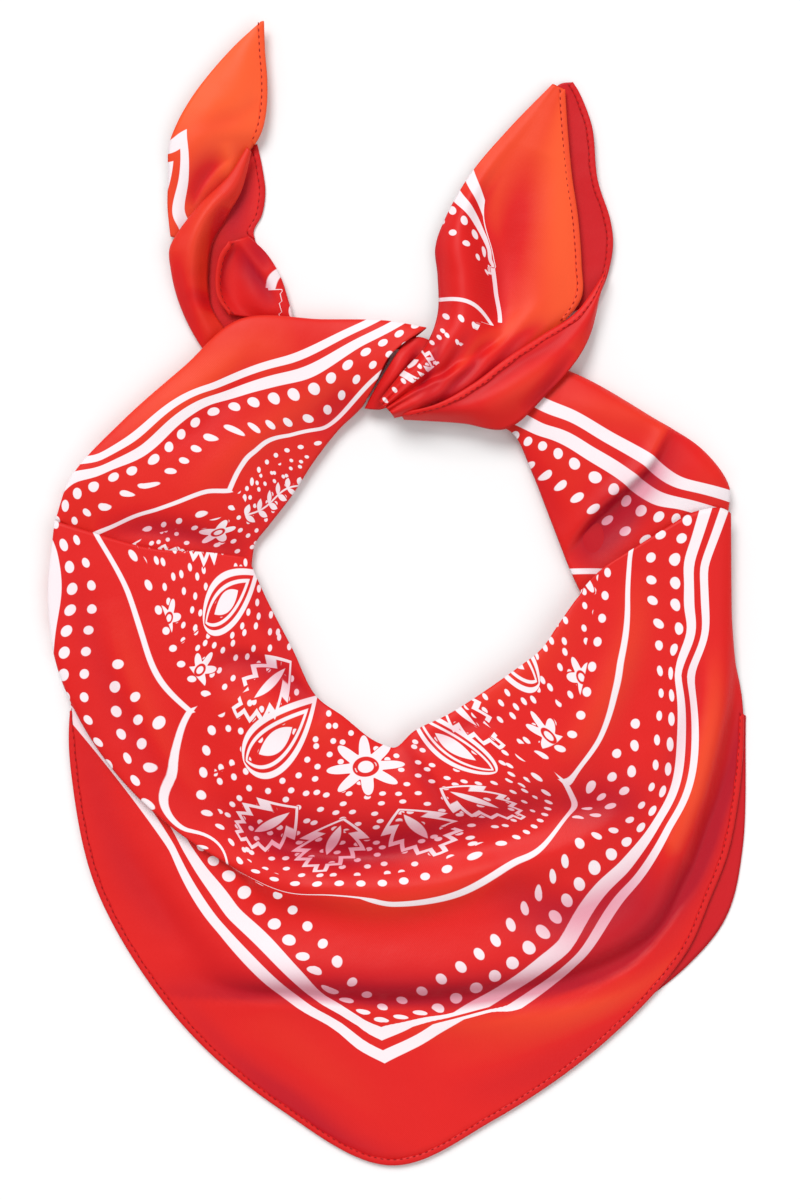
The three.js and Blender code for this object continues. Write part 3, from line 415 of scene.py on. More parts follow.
LEFT_BAND_LINES = (
    ("left", "inner", ((-36.3, 72.8, 477), (-72, 144, 450), (-116.8, 213, 399.3), (-148, 276.8, 380),
        (-181.5, 335.5, 357), (-212.4, 391.6, 326.6))),
    ("left", "outer", ((-51.3, 98, 458), (-119.2, 213, 386.5), (-156.9, 289.6, 359.7),
        (-201, 363.6, 325.3))),
    ("left", "side_arch", ((-40, 155, 510), (-60, 185, 499), (-72, 208, 491), (-80, 229, 491))),
    ("left", "tail_line", ((-94, 243, 464), (-112, 256, 451), (-141, 289, 435.5), (-158, 323, 428))),
    ("left", "arch_dots", ((-70, 222.5, 509), (-65.5, 201.6, 513.6), (-57, 182, 520), (-45, 162.8, 524.3),
        (-33, 142.9, 529.9))),
    ("left", "tail_dots", ((-104, 258, 470), (-132, 283.5, 450.8), (-145, 301, 446.5), (-156, 320.2, 442))),
)
RIGHT_BAND_MARKS = (
    ("right", "big", -5.5, -2, ((676.7, 517.8), (641.7, 510.3), (614.3, 489), (574, 463), (543, 445.2),
        (515.4, 435.5))),
    ("right", "small", -6.5, -2, ((645.5, 540), (607.6, 520), (577.8, 497.7), (547.3, 475.3))),
)
RIGHT_BAND_LINES = (
    ("right", "inner", ((-137.7, 542.6, 431), (-113.4, 585.7, 451), (-90.7, 627, 478), (-68.4, 659, 498.9),
        (-53.4, 681.3, 503.6))),
    ("right", "outer", ((-127.5, 569.7, 415), (-108.7, 609.6, 438.3), (-84, 647.8, 459.8),
        (-53.7, 681.3, 483.7))),
    ("right", "side_arch", ((-80, 566, 571.4), (-69, 604.8, 571.4))),
    ("right", "tail_line", ((-92, 545, 545), (-112, 520, 505))),
)
RIGHT_END_MARKS = (
    ("right", "big", -21.5, 1, ((453.6, 210), (465.6, 219.6), (476.5, 234.2), (486.7, 250.8))),
    ("right", "small", -20.5, 1, ((451.8, 233.2), (464.8, 244), (477.8, 257), (488.5, 271.7),
        (498.5, 290.3))),
)
RIGHT_END_LINES = (
    ("right", "inner", ((-216, 457.4, 196.7), (-200, 471.4, 213.3), (-189, 483, 233.7), (-180, 489.3, 254))),
    ("right", "outer", ((-214, 471.4, 177.6), (-200, 481.6, 200.5), (-187, 489.3, 228.6),
        (-176, 494.4, 259))),
    ("right", "far_arc", ((-173, 443, 299), (-163, 475, 306), (-154, 492, 326), (-150, 499.6, 338))),
    ("right", "edge", ((-272, 553, 82), (-243, 571, 150), (-214, 578, 216), (-181, 581, 296))),
)
LEFT_SIDE_LINES = (
    ("left", "side_arch", ((0, 270, 293), (12, 273, 277), (24, 283, 268))),
    ("left", "arch_dots", ((14.95, 290, 310),)),
    ("left", "plain", ((-20, 225, 300), (0, 240, 250), (30, 262, 240))),
)
LEFT_END_LINES = (
    ("left", "outer", ((275, 182.4, 137), (255, 182.4, 181.8), (241.7, 176.8, 212.5), (236, 184, 224))),
    ("left", "inner", ((263.25, 166, 167),)),
    ("right", "outer", ((266, 172, 146),)),
    ("left", "edge", ((319.9, 264, 18), (288, 267.9, 93), (276, 263.3, 120.6), (268, 255.6, 137.5))),
)


def spline(points, places):
    """Points at places, counted in points, on the smooth curve through points along their first axis.

    It is the centripetal Catmull-Rom curve: end points are added by reflection, each gap between neighbours
    is the square root of their distance, and a cubic with the two slopes that follow runs over each gap.
    """
    points = np.asarray(points, float)
    padded = np.concatenate([2 * points[:1] - points[1:2], points, 2 * points[-1:] - points[-2:-1]])
    span = np.clip(np.floor(places).astype(int), 0, len(points) - 2)
    share = (places - span).reshape((-1,) + (1,) * (points.ndim - 1))
    before, start, end, after = (padded[span + k] for k in range(4))

    def gap(a, b):
        return np.maximum(np.sum((b - a) ** 2, axis=-1, keepdims=True) ** 0.25, 1e-4)

    first, middle, last = gap(before, start), gap(start, end), gap(end, after)
    level = (end - start) / middle
    slope_in = ((start - before) / first - (end - before) / (first + middle) + level) * middle
    slope_out = (level - (after - start) / (middle + last) + (after - end) / last) * middle
    cubic = 2 * start - 2 * end + slope_in + slope_out
    square = -3 * start + 3 * end - 2 * slope_in - slope_out
    return start + share * (slope_in + share * (square + share * cubic))


def even_places(net, spacing, axis):
    """Places along an axis of a net of points, about spacing apart along each span's mean length."""
    lengths = np.linalg.norm(np.diff(net, axis=axis), axis=-1).mean(axis=1 - axis)
    total = np.concatenate([[0], np.cumsum(np.maximum(lengths, spacing))])
    count = max(int(round(total[-1] / spacing)), 2 * len(lengths)) + 1
    return np.interp(np.linspace(0, total[-1], count), total, np.arange(len(total)))


def surface(net, spacing):
    """A grid of points on the smooth surface through a net: splines down its columns, then across.

    With it come each point's place down and across, counted in the net's rows and columns.
    """
    net = np.asarray(net, float)
    down = even_places(net, spacing, 0)
    across = even_places(net, spacing, 1)
    sections = spline(net, down)
    grid = np.swapaxes(spline(np.swapaxes(sections, 0, 1), across), 0, 1)
    return grid, *np.meshgrid(down, across, indexing="ij")


def facing(grid):
    """Unit normals of a grid of points: the cross product of its steps across and its steps along."""
    normal = np.cross(np.gradient(grid, axis=1), np.gradient(grid, axis=0))
    return normal / np.maximum(np.linalg.norm(normal, axis=-1, keepdims=True), 1e-9)


def from_photo(pixels):
    """Photo pixels to mm on the plan: the distance from the photo's middle times the scale, y upwards."""
    pixels = np.asarray(pixels, float)
    return (pixels - PHOTO_MIDDLE) * (MM_PER_PIXEL, -MM_PER_PIXEL)


def row_depth(row, along):
    """How far a row of the print lies from the square's middle at the given places along its side."""
    inner = INNER_DOTS["depth"] if row in ("arch_dots", "tail_dots") else 0
    if row in ("side_arch", "arch_dots"):
        return ARCH["depth"] - inner - ARCH["slope"] * along - ARCH["bend"] * along**2
    if row in ("tail_line", "tail_dots"):
        lead = np.clip(1 - (TAIL["from"] - along) / TAIL["over"], 0, 1)
        return TAIL["depth"] - inner - TAIL["drop"] * lead**2
    if row == "far_arc":
        middle, depth = FAR_ARC["centre"]
        return depth + np.sqrt(FAR_ARC["radius"] ** 2 - (along - middle) ** 2)
    return np.full(along.shape, ROWS[row])


def landmarks(dot_rows, lines):
    """The marks' places on the floor plan and on the flat cloth, both in mm.

    A dot's place along its side is counted in pitches. On the scalloped corner arc a place is the share of
    the half arc that runs from the cusp to the diagonal.
    """
    plan, cloth = [], []
    for side, row, first, step, places in dot_rows:
        along = (first + step * np.arange(len(places))) * PITCH
        plan.append(from_photo(places))
        cloth.append(on_cloth(side, along, row_depth(row, along)))
    for side, row, places in lines:
        along = np.array([place[0] for place in places], float)
        plan.append(from_photo([place[1:] for place in places]))
        if row == "corner_arc":
            turn = np.radians(143 - 98 * along)
            middle, radius = CORNER["centre"][0], CORNER["radius"]
            along, depth = middle + radius * np.cos(turn), middle + radius * np.sin(turn)
        else:
            depth = row_depth(row, along)
        cloth.append(on_cloth(side, along, depth))
    return np.concatenate(plan), np.concatenate(cloth)


def on_cloth(side, along, depth):
    """Cloth coordinates from a place along a side and a depth from the middle."""
    return np.stack([along, depth] if side == "left" else [depth, along], axis=-1)


def thin_plate(plan, cloth, give=0.0005):
    """A function from the plan to the flat cloth: a plane plus a sum of r squared log r about each mark.

    give is how far the map may miss its marks, as the weight added to the kernel's diagonal.
    """
    scale = 100.0

    def kernel(a, b):
        square = np.sum((a[:, None] - b[None]) ** 2, axis=-1)
        return 0.5 * square * np.log(np.maximum(square, 1e-12))

    marks = plan / scale
    count = len(marks)
    system = np.zeros((count + 3, count + 3))
    system[:count, :count] = kernel(marks, marks) + give * np.eye(count)
    system[:count, count:] = np.column_stack([np.ones(count), marks])
    system[count:, :count] = system[:count, count:].T
    weights = np.linalg.solve(system, np.concatenate([cloth, np.zeros((3, 2))]))

    def cloth_at(points):
        points = points / scale
        bent = kernel(points, marks) @ weights[:count]
        return bent + np.column_stack([np.ones(len(points)), points]) @ weights[count:]

    return cloth_at


def distance_to_line(points, line):
    """Each point's distance to a bent line, signed by side, and the share of its length where it is nearest.

    Every straight stretch is tried at once, and the nearest one is taken.
    """
    start, end = line[:-1], line[1:]
    step = end - start
    length = np.linalg.norm(step, axis=1)
    offset = points[:, None] - start[None]
    share = np.clip(np.sum(offset * step, axis=-1) / length**2, 0, 1)
    gap = offset - share[..., None] * step
    apart = np.linalg.norm(gap, axis=-1)
    nearest = np.argmin(apart, axis=1)
    pick = np.arange(len(points)), nearest
    side = np.sign(step[nearest, 0] * gap[pick][:, 1] - step[nearest, 1] * gap[pick][:, 0])
    before = np.concatenate([[0], np.cumsum(length)])[nearest]
    return apart[pick] * side, (before + share[pick] * length[nearest]) / length.sum()


def smooth_line(points, count=60):
    """A finely divided smooth curve through a few points."""
    points = np.asarray(points, float)
    return spline(points, np.linspace(0, len(points) - 1, count))


def soft_step(value):
    """0 below 0, 1 above 1, and a smooth cubic between."""
    value = np.clip(value, 0, 1)
    return value * value * (3 - 2 * value)


def section_net(sections):
    """The net for the band or drape: each section's points, after the lip under the neck edge.

    The lip is the neck edge moved inward on the plan towards the bulge, and lowered. A left band section,
    which has no hem, goes on beneath itself from its outer edge, a little lower at each step.
    """
    net = []
    for section in sections:
        points = np.array(section, float)
        outward = (points[1] - points[0]) * (1, 1, 0)
        lip = points[0] + NECK_LIP["inward"] * outward / np.linalg.norm(outward)
        lip[2] = points[0, 2] - NECK_LIP["drop"]
        if len(points) < len(DRAPE[0]):
            edge = points[-1]
            inward = (points[-2] - edge) * (1, 1, 0)
            inward /= np.linalg.norm(inward)
            turned = [edge * (1, 1, 1 - drop) + distance * inward for distance, drop in TURN_UNDER]
            points = np.concatenate([points, turned])
        net.append(np.concatenate([[lip], points]))
    return np.array(net)


DRAPE_EDGE = section_net(DRAPE)


def back_net():
    """The net for the back half: flat on the floor from beneath the swag out past the front hem."""
    net = []
    for section, peek in zip(DRAPE[slice(*BACK_SECTIONS)], BACK_PEEK):
        valley, crest, hem = (np.array(section[k], float) for k in (2, 3, 7))
        inside = valley + BACK_START * (crest - valley)
        outward = (hem - valley) * (1, 1, 0)
        edge = hem + peek * outward / np.linalg.norm(outward)
        net.append([(inside + share * (edge - inside)) * (1, 1, 0) + (0, 0, 0.6) for share in (0, 0.5, 1)])
    return np.array(net)


def folded_net():
    """The net for the folded layers beside the neck: closed outlines in the room beneath the cloth."""
    net = []
    for section in LEFT_BAND + DRAPE[1:-2] + RIGHT_BAND + UNDER_KNOT:
        cloth = np.array(section[:3], float)
        cloth[0] += (cloth[1] - cloth[0]) * ROOM["from_neck"] / np.linalg.norm(cloth[1] - cloth[0])
        across = np.array([row[0] for row in FOLDED_LAYERS])
        fill = np.array([row[1] for row in FOLDED_LAYERS])
        outline = spline(cloth, across * 2)
        outline[:, 2] = fill * np.maximum(outline[:, 2] - ROOM["below_cloth"], ROOM["least"])
        net.append(np.concatenate([outline, outline[:1]]))
    return np.array(net)


def new_piece(name, points, faces):
    """A smooth mesh object of points in mm and the faces between them."""
    mesh = bpy.data.meshes.new(name)
    mesh.from_pydata((points.reshape(-1, 3) * MM).tolist(), [], faces)
    mesh.shade_smooth()
    mesh.update()
    piece = bpy.data.objects.new(name, mesh)
    bpy.context.scene.collection.objects.link(piece)
    return piece


def dress(piece, finish, slot, node=None):
    """Give a piece its finish and hide the CAD node whose place it takes. slot, the material slot, is not
    used.
    """
    piece.data.materials.append(finish)
    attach(piece, "root")
    if node is not None:
        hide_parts(node)


def grid_mesh(name, grid, uv=None, painted_light_and_shade=0.0, closed=False, most_apart=HALF_SIDE):
    """A mesh object from a grid of points in mm: a quad for each cell, facing up where the cloth lies open.

    closed joins the last column to the first and fills both ends. tone, the painted light and shade of each
    point (painted shade below 0, painted light above 0), is kept as an attribute for the finish. uv is a
    place on the flat square for each point. A cell whose corners lie more than most_apart mm from each other
    there spans a hidden fold, so it takes one place for all four.
    """
    rows, columns = grid.shape[:2]
    if closed:
        grid = grid[:, :-1]
        columns -= 1
    index = np.arange(rows * columns).reshape(rows, columns)
    right = np.roll(index, -1, axis=1) if closed else index[:, 1:]
    left = index if closed else index[:, :-1]
    quads = np.stack([left[:-1], right[:-1], right[1:], left[1:]], axis=-1).reshape(-1, 4)
    if not closed and facing(grid)[..., 2].mean() < 0:
        quads = quads[:, ::-1]
    ends = [index[0, ::-1].tolist(), index[-1].tolist()] if closed else []
    piece = new_piece(name, grid, quads.tolist() + ends)
    mesh = piece.data
    if uv is not None:
        corners = np.empty(len(mesh.loops), dtype=np.int32)
        mesh.loops.foreach_get("vertex_index", corners)
        placed = uv[corners].reshape(-1, 4, 2)
        apart = np.ptp(placed, axis=1).max(axis=-1) > most_apart / (2 * HALF_SIDE)
        placed[apart] = placed[apart, :1]
        layer = mesh.uv_layers.new(name="cloth")
        layer.data.foreach_set("uv", placed.astype(np.float32).ravel())
    # Painted light and shade of each point, kept for the finish to mix into the colour.
    painted_light_and_shade_values = np.broadcast_to(np.asarray(painted_light_and_shade, np.float32).ravel(), len(mesh.vertices))
    mesh.attributes.new("painted_light_and_shade", "FLOAT", "POINT").data.foreach_set("value", painted_light_and_shade_values.copy())
    return piece


def by_node(operation):
    """A method that works out its operation on the number and any others with one Math node."""
    return lambda value, *others: value.math(operation, *others)


class Value:
    """A number that varies over a surface: arithmetic on it adds Math nodes to its finish."""

    def __init__(self, finish, socket):
        self.finish = finish
        self.socket = socket

    def math(self, operation, *others, clamp=False):
        inputs = dict(enumerate((self,) + others))
        return self.finish.value("ShaderNodeMath", {"operation": operation, "use_clamp": clamp}, inputs)

    __add__ = __radd__ = by_node("ADD")
    __sub__ = by_node("SUBTRACT")
    __mul__ = __rmul__ = by_node("MULTIPLY")
    __truediv__ = by_node("DIVIDE")
    __abs__ = by_node("ABSOLUTE")
    __or__ = by_node("MAXIMUM")
    __and__ = by_node("MINIMUM")
    root = by_node("SQRT")
    fraction = by_node("FRACT")
    angle_over = by_node("ARCTAN2")
    at_least = by_node("MAXIMUM")

    def __rsub__(self, other):
        return self.finish.value("ShaderNodeMath", {"operation": "SUBTRACT"}, {0: other, 1: self})

    def __neg__(self):
        return self * -1.0

    def inside(self, softness=0.3):
        """1 where this is well above 0, 0 where it is well below, and an even ramp between."""
        return self.finish.value("ShaderNodeMath", {"operation": "MULTIPLY_ADD", "use_clamp": True},
                                 {0: self, 1: 1 / softness, 2: 0.5})


class Finish:
    """A procedural material while it is built."""

    def __init__(self, name):
        self.material = bpy.data.materials.new(name)
        self.material.use_nodes = True
        self.tree = self.material.node_tree
        self.tree.nodes.clear()

    def node(self, kind, settings=None, inputs=None):
        """A node of the kind given: its settings are set first, then the values or links of its sockets."""
        node = self.tree.nodes.new(kind)
        for key, setting in (settings or {}).items():
            setattr(node, key, setting)
        for key, source in (inputs or {}).items():
            if isinstance(source, Value):
                source = source.socket
            if isinstance(source, bpy.types.NodeSocket):
                self.tree.links.new(source, node.inputs[key])
            else:
                node.inputs[key].default_value = source
        return node

    def value(self, kind, settings=None, inputs=None, output=0):
        return Value(self, self.node(kind, settings, inputs).outputs[output])

    def texture(self, kind, scale, settings=None, **inputs):
        """The number that a Noise or Wave texture gives, placed on the object."""
        place = self.node("ShaderNodeTexCoord").outputs["Object"]
        inputs = {"Vector": place, "Scale": scale, **inputs}
        return self.value("ShaderNodeTex" + kind, settings, inputs, "Fac")

    def blend(self, share, first, second):
        mix = self.node("ShaderNodeMix", {"data_type": "RGBA"}, {"Factor": share, 6: first, 7: second})
        return mix.outputs[2]

    def surface(self, colour, roughness, height, distance, sheen=0.04):
        """Put the principled shader over the colour, roughness and relief, with constant sheen."""
        bump = self.node("ShaderNodeBump", None, {"Height": height, "Distance": distance, "Strength": 1.0})
        shader = self.node("ShaderNodeBsdfPrincipled", None, {
            "Base Color": colour, "Roughness": roughness, "Normal": bump.outputs["Normal"],
            "Sheen Weight": sheen, "Sheen Roughness": 0.35, "Specular IOR Level": 0.22})
        output = self.node("ShaderNodeOutputMaterial", None, {"Surface": shader.outputs["BSDF"]})
        output.is_active_output = True
        return self.material


def linear(colour):
    """An sRGB colour of 0 to 255 as a linear one."""
    part = np.asarray(colour, float) / 255
    part = np.where(part <= 0.04045, part / 12.92, ((part + 0.055) / 1.055) ** 2.4)
    return tuple(part.tolist())


def cloth_place(finish):
    """The place on the square in mm, folded into one side's frame, and how far it lies on the right side.

    The first two are the place along the side and the depth from the middle.
    """
    layer = finish.node("ShaderNodeUVMap", {"uv_map": "cloth"})
    parts = finish.node("ShaderNodeSeparateXYZ", None, {"Vector": layer.outputs["UV"]})
    a = (Value(finish, parts.outputs["X"]) - 0.5) * (2 * HALF_SIDE)
    b = (Value(finish, parts.outputs["Y"]) - 0.5) * (2 * HALF_SIDE)
    depth = abs(a) | abs(b)
    along = (abs(a) & abs(b)) * (a * b).math("SIGN")
    return along, depth, abs(a) - abs(b)


def distance(across, down):
    """The root of the sum of two squares."""
    return (across * across + down * down).root()


def dots(along, depth, row, radius, offset=0.5):
    """How far inside the nearest dot of a row a place is. offset is the dots' share of a pitch."""
    sideways = ((along / PITCH + (0.5 - offset)).fraction() - 0.5) * PITCH
    return radius - distance(sideways, depth - row)


def ring(along, depth, centre, radius):
    """A place's distance from a centre, and how far it is inside the nearest dot of a ring round it."""
    across, down = along - centre[0], depth - centre[1]
    away = distance(across, down)
    pitch = INNER_DOTS["round"]
    sideways = ((down.angle_over(across) * (radius / pitch)).fraction() - 0.5) * pitch
    return away, INNER_DOTS["radius"] - distance(sideways, away - radius)


def local_frame(along, depth, centre, degrees):
    """Coordinates along and beside a direction, from a centre on the folded square."""
    turn = np.radians(degrees)
    cosine, sine = float(np.cos(turn)), float(np.sin(turn))
    ahead = along * cosine + (depth * sine - (centre[0] * cosine + centre[1] * sine))
    aside = depth * cosine - (along * sine + (centre[1] * cosine - centre[0] * sine))
    return ahead, aside


def leaf(ahead, aside, length, width):
    """How far inside a pointed leaf a place is: a parabola's half width less the distance aside."""
    return ahead * (4 * width / length - ahead * (4 * width / length**2)) - abs(aside)


def outline(shape, line):
    """The rim of a shape, as wide as the line given."""
    return line / 2 - abs(shape - line / 2)


def toothed_leaf(along, depth, centre, degrees, length, width, teeth=5):
    """A leaf drawn as a toothed rim round a filled rib: its half width less a slanted triangle wave."""
    ahead, aside = local_frame(along, depth, centre, degrees)
    tooth = abs(((ahead - abs(aside) * 0.75) * (teeth / length)).fraction() - 0.5) * 9.0
    shape = leaf(ahead, aside, length, width) - tooth
    rib = leaf(ahead - length * 0.16, aside, length * 0.5, 2.2)
    return outline(shape, 3.2) | rib


def paisley(along, depth, centre, degrees, length, width, bend):
    """A bent drop drawn as two rims round a filled heart, blunt at its start and pointed at its end."""
    ahead, aside = local_frame(along, depth, centre, degrees)
    start = (ahead / length).at_least(0.0)
    curved = aside - start * start * bend
    shape = start.root() * (1 - ahead / length) * (2.6 * width) - abs(curved) - 0.6
    heart = leaf(ahead - length * 0.18, curved, length * 0.42, width * 0.34)
    return outline(shape, 2.8) | outline(shape - 4.6, 1.6) | heart


def flower(along, depth, centre, radius, petals, turn=0.0):
    """A round flower: petals as a cosine of the angle round its centre, with a ring cut out and an eye."""
    across, down = along - centre[0], depth - centre[1]
    away = distance(across, down)
    angle = down.angle_over(across) * petals + turn
    rim = (angle.math("COSINE") * 0.28 + 0.72) * radius - away
    return (rim & (away - radius * 0.34)) | (radius * 0.2 - away)


def vine(along, depth, centre, degrees, length, pitch, sway):
    """A thin stem with a pair of leaves at every pitch, bent sideways as a slow sine."""
    ahead, aside = local_frame(along, depth, centre, degrees)
    aside = aside - (ahead * (2 * np.pi / length)).math("SINE") * sway
    within = (length / 2 - abs(ahead - length / 2)) * 0.8
    step = (ahead / pitch).fraction() * pitch
    beside = abs(aside)
    forward = step * 0.64 + beside * 0.77
    leaves = leaf(forward, beside * 0.64 - step * 0.77, pitch * 0.86, pitch * 0.2)
    return (leaves | (0.55 - beside)) & within


def garden(along, depth):
    """The white leaves, drops, flowers and vines inside the frame line."""
    return (
        flower(along, depth, (146, 146), 17.0, 8)
        | toothed_leaf(along, depth, (158, 172), 66, 40, 15.0)
        | toothed_leaf(along, depth, (138, 176), 98, 38, 15.0)
        | paisley(along, depth, (107, 185), 278, 46, 13.0, -9.0)
        | toothed_leaf(along, depth, (84, 142), 84, 40, 14.0)
        | flower(along, depth, (62, 192), 9.0, 6, 0.8)
        | paisley(along, depth, (42, 188), 262, 42, 12.0, 7.0)
        | flower(along, depth, (30, 208), 7.5, 5)
        | toothed_leaf(along, depth, (14, 148), 96, 44, 14.0)
        | flower(along, depth, (-10, 206), 9.0, 6, 0.5)
        | vine(along, depth, (-14, 150), 98, 60, 9.5, 2.0)
        | toothed_leaf(along, depth, (-44, 166), 84, 42, 13.0)
        | flower(along, depth, (-66, 200), 7.0, 5, 2.0)
        | vine(along, depth, (-80, 203), 186, 52, 9.5, 2.0)
        | toothed_leaf(along, depth, (-120, 150), 110, 38, 13.0)
        | toothed_leaf(along, depth, (-148, 134), 92, 32, 12.0)
    )


def print_mask(finish):
    """The white print: 1 on the print and 0 on the ground.

    Two stripes and two rows of dots run along every side, with a small triangle of dots on each cusp of the
    scalloped frame line. Another row of dots follows the line, and the garden of leaves fills the middle.
    """
    along, depth, on_right = cloth_place(finish)
    stripes = (3.0 - abs(depth - ROWS["outer"])) | (3.75 - abs(depth - ROWS["inner"]))
    rows = dots(along, depth, ROWS["big"], 2.7) | dots(along, depth, ROWS["small"], 2.1)
    reach = abs(along - 8 * PITCH)
    for row, radius, offset, half in CUSP_DOTS:
        rows = rows | (dots(along, depth, ROWS[row], radius, offset) & (half * PITCH - reach))
    arch = depth - ARCH["depth"] + along * ARCH["slope"] + along * along * ARCH["bend"]
    past_arch = abs(along) - ARCH["half"]
    before_tail = TAIL["from"] - along
    lead = (1 - before_tail / TAIL["over"]).at_least(0.0)
    tail = depth - TAIL["depth"] + lead * lead * TAIL["drop"]
    beside_far = (along - FAR_ARC["from"]) | -on_right
    past_far = (FAR_ARC["from"] - along) & on_right & (depth - 170)
    inner_row, dot = INNER_DOTS["depth"], INNER_DOTS["radius"]
    far_ring = FAR_ARC["radius"] - 11
    from_corner, corner_dots = ring(along, depth, CORNER["centre"], CORNER["radius"] - inner_row)
    from_far, far_dots = ring(along, depth, FAR_ARC["centre"], far_ring)
    line = ((LINE - abs(arch)) & -past_arch) | (
        (LINE - abs(from_corner - CORNER["radius"])) & (along - 79)) | (
        (LINE - abs(tail)) & before_tail & beside_far) | (
        (LINE - abs(from_far - FAR_ARC["radius"])) & past_far)
    inner = (corner_dots & (along - 86)) | (
        dots(along, arch, -inner_row, dot) & (76 - abs(along))) | (
        dots(along, tail, -inner_row, dot) & (before_tail - 4) & beside_far) | (
        far_dots & (past_far + 12))
    plants = garden(along, depth)
    ground = (218 - depth) & (68 - from_corner + (80 - along).at_least(0.0) * 9) & (
        (abs(along) - 80).at_least(0.0) * 9 - 17 - arch) & (
        far_ring - 5 - from_far + beside_far.at_least(0.0) * 9)
    layer = finish.node("ShaderNodeUVMap", {"uv_map": "cloth"}).outputs["UV"]
    specks = finish.value("ShaderNodeTexVoronoi", {"feature": "F1", "voronoi_dimensions": "2D"},
                          {"Vector": layer, "Scale": SPECKS["scale"], "Randomness": 0.8}, "Distance")
    speck = (SPECKS["radius"] - specks * (2 * HALF_SIDE / SPECKS["scale"])) & (-1.0 - plants) & ground
    return (stripes | rows | line | inner | (plants & (ground + 2.5)) | speck).inside()


def satin(printed):
    """Red satin: a twill weave, soft wrinkles, a broad sheen and, on the face, the white print.

    The attribute named tone puts painted shade into the colour in folds, where it is below 0, and painted
    light above 0, on lit ridges and where one layer lets light through.
    """
    name = "red satin, printed" if printed else "red satin, plain"
    if name in bpy.data.materials:
        return bpy.data.materials[name]
    finish = Finish(name)
    cloth = cloth_settings()
    # Painted light and shade from the attribute: its part below 0 is painted shade, its part above 0 painted
    # light.
    painted_light_and_shade = finish.value("ShaderNodeAttribute", {"attribute_name": "painted_light_and_shade"}, None, "Fac")
    painted_shade = painted_light_and_shade.math("MULTIPLY", -1.0, clamp=True)
    painted_light = painted_light_and_shade.math("MULTIPLY", 1.0, clamp=True)
    patches = finish.texture("Noise", 9.0, Detail=3.0)
    face = np.array(cloth.face)
    ground = finish.blend(patches, opaque(face * 0.92), opaque(face * 1.06))
    # Painted shade darkens the ground towards the fold colour, and painted light warms it towards the
    # single-layer colour.
    colour = finish.blend(painted_light, finish.blend(painted_shade, ground, opaque(cloth.painted_shade)), opaque(cloth.painted_light))
    roughness = 0.40 + patches * 0.12
    if printed:
        mask = print_mask(finish)
        # The white print also takes a pinker painted shade in folds.
        white = finish.blend(painted_shade, opaque(cloth.white), opaque(cloth.print_in_painted_shade))
        colour = finish.blend(mask, colour, white)
        roughness = roughness + mask * 0.08
    twill = finish.texture("Wave", 700.0, {"bands_direction": "DIAGONAL"}, Distortion=1.5, Detail=1.0)
    wrinkles, fibres = finish.texture("Noise", 42.0), finish.texture("Noise", 900.0, Detail=1.0)
    height = twill * 0.03 + wrinkles * 0.9 + fibres * 0.05
    return finish.surface(colour, roughness, height, 0.0008)


def thread():
    """Sewing thread: the red of the cloth's folds, with the fine twist of its plies."""
    finish = Finish("red thread")
    dye = np.array(cloth_settings().thread)
    twist = finish.texture("Wave", 900.0, {"bands_direction": "DIAGONAL"})
    colour = finish.blend(twist, opaque(dye * 0.8), opaque(dye * 1.15))
    return finish.surface(colour, 0.5 + twist * 0.1, twist, 0.0001)


def opaque(colour):
    """A colour with full alpha."""
    return (*(float(part) for part in colour), 1.0)


def creases(grid, table):
    """How far the creases of a table raise each point of a grid, in mm, and the painted light they give it:
    painted shade in a fold below 0, a painted highlight on a ridge above 0.

    Each crease is a smooth line with a bell-shaped profile of its height, with its own width on each side,
    and it swells from nothing at its ends as a power of the sine of its length.
    """
    plan = grid.reshape(-1, 3)[:, :2]
    rise, light = np.zeros(len(plan)), np.zeros(len(plan))
    for height, painted_lightness, left, right, places in table:
        apart, share = distance_to_line(plan, from_photo(smooth_line(places, 24)))
        width = np.where(apart > 0, left, right)
        bell = np.exp(-((apart / width) ** 2)) * np.sin(np.pi * np.clip(share, 0, 1)) ** 0.8
        rise += height * bell
        light += painted_lightness * bell
    return rise.reshape(grid.shape[:2]), light.reshape(grid.shape[:2])


def knot_gathers(down, across, rise):
    """Gathers that run from the knot: a raised cosine across the end, fading with the distance."""
    share = across / (len(RIGHT_END_FRONT[0]) - 1)
    strength = np.maximum(1 - down / GATHERS["last_row"], 0)
    return rise + GATHERS["height"] * strength * (1 - np.cos(2 * np.pi * GATHERS["count"] * share)) / 2


def calm_edge(down, across, rise):
    """The drape's creases, which die away over its last mm so that its hem lies on it."""
    return rise * (1 - soft_step((across - 7.0) / 0.9))


def right_end_painted_light(down, across):
    """Painted light where one layer lets light through, past the printed roll and less near the knot, and a
    faint painted shade elsewhere.
    """
    past_roll = np.maximum(soft_step((across - 1.9) / 0.5), soft_step((down - 6.2) / 1.2))
    share = 0.55 + 0.33 * soft_step((across - 2.9) / 0.9)
    return share * past_roll * soft_step((down - 1.6) / 2.2) - 0.05


def left_leaf_painted_light(down, across):
    """Painted light where one layer lets light through, less where the roll lies beside it and shades it."""
    return 1.0 - 0.55 * soft_step((down - 3.2) / 2.6)


def cloth_settings():
    return bpy.context.scene.bandana_cloth


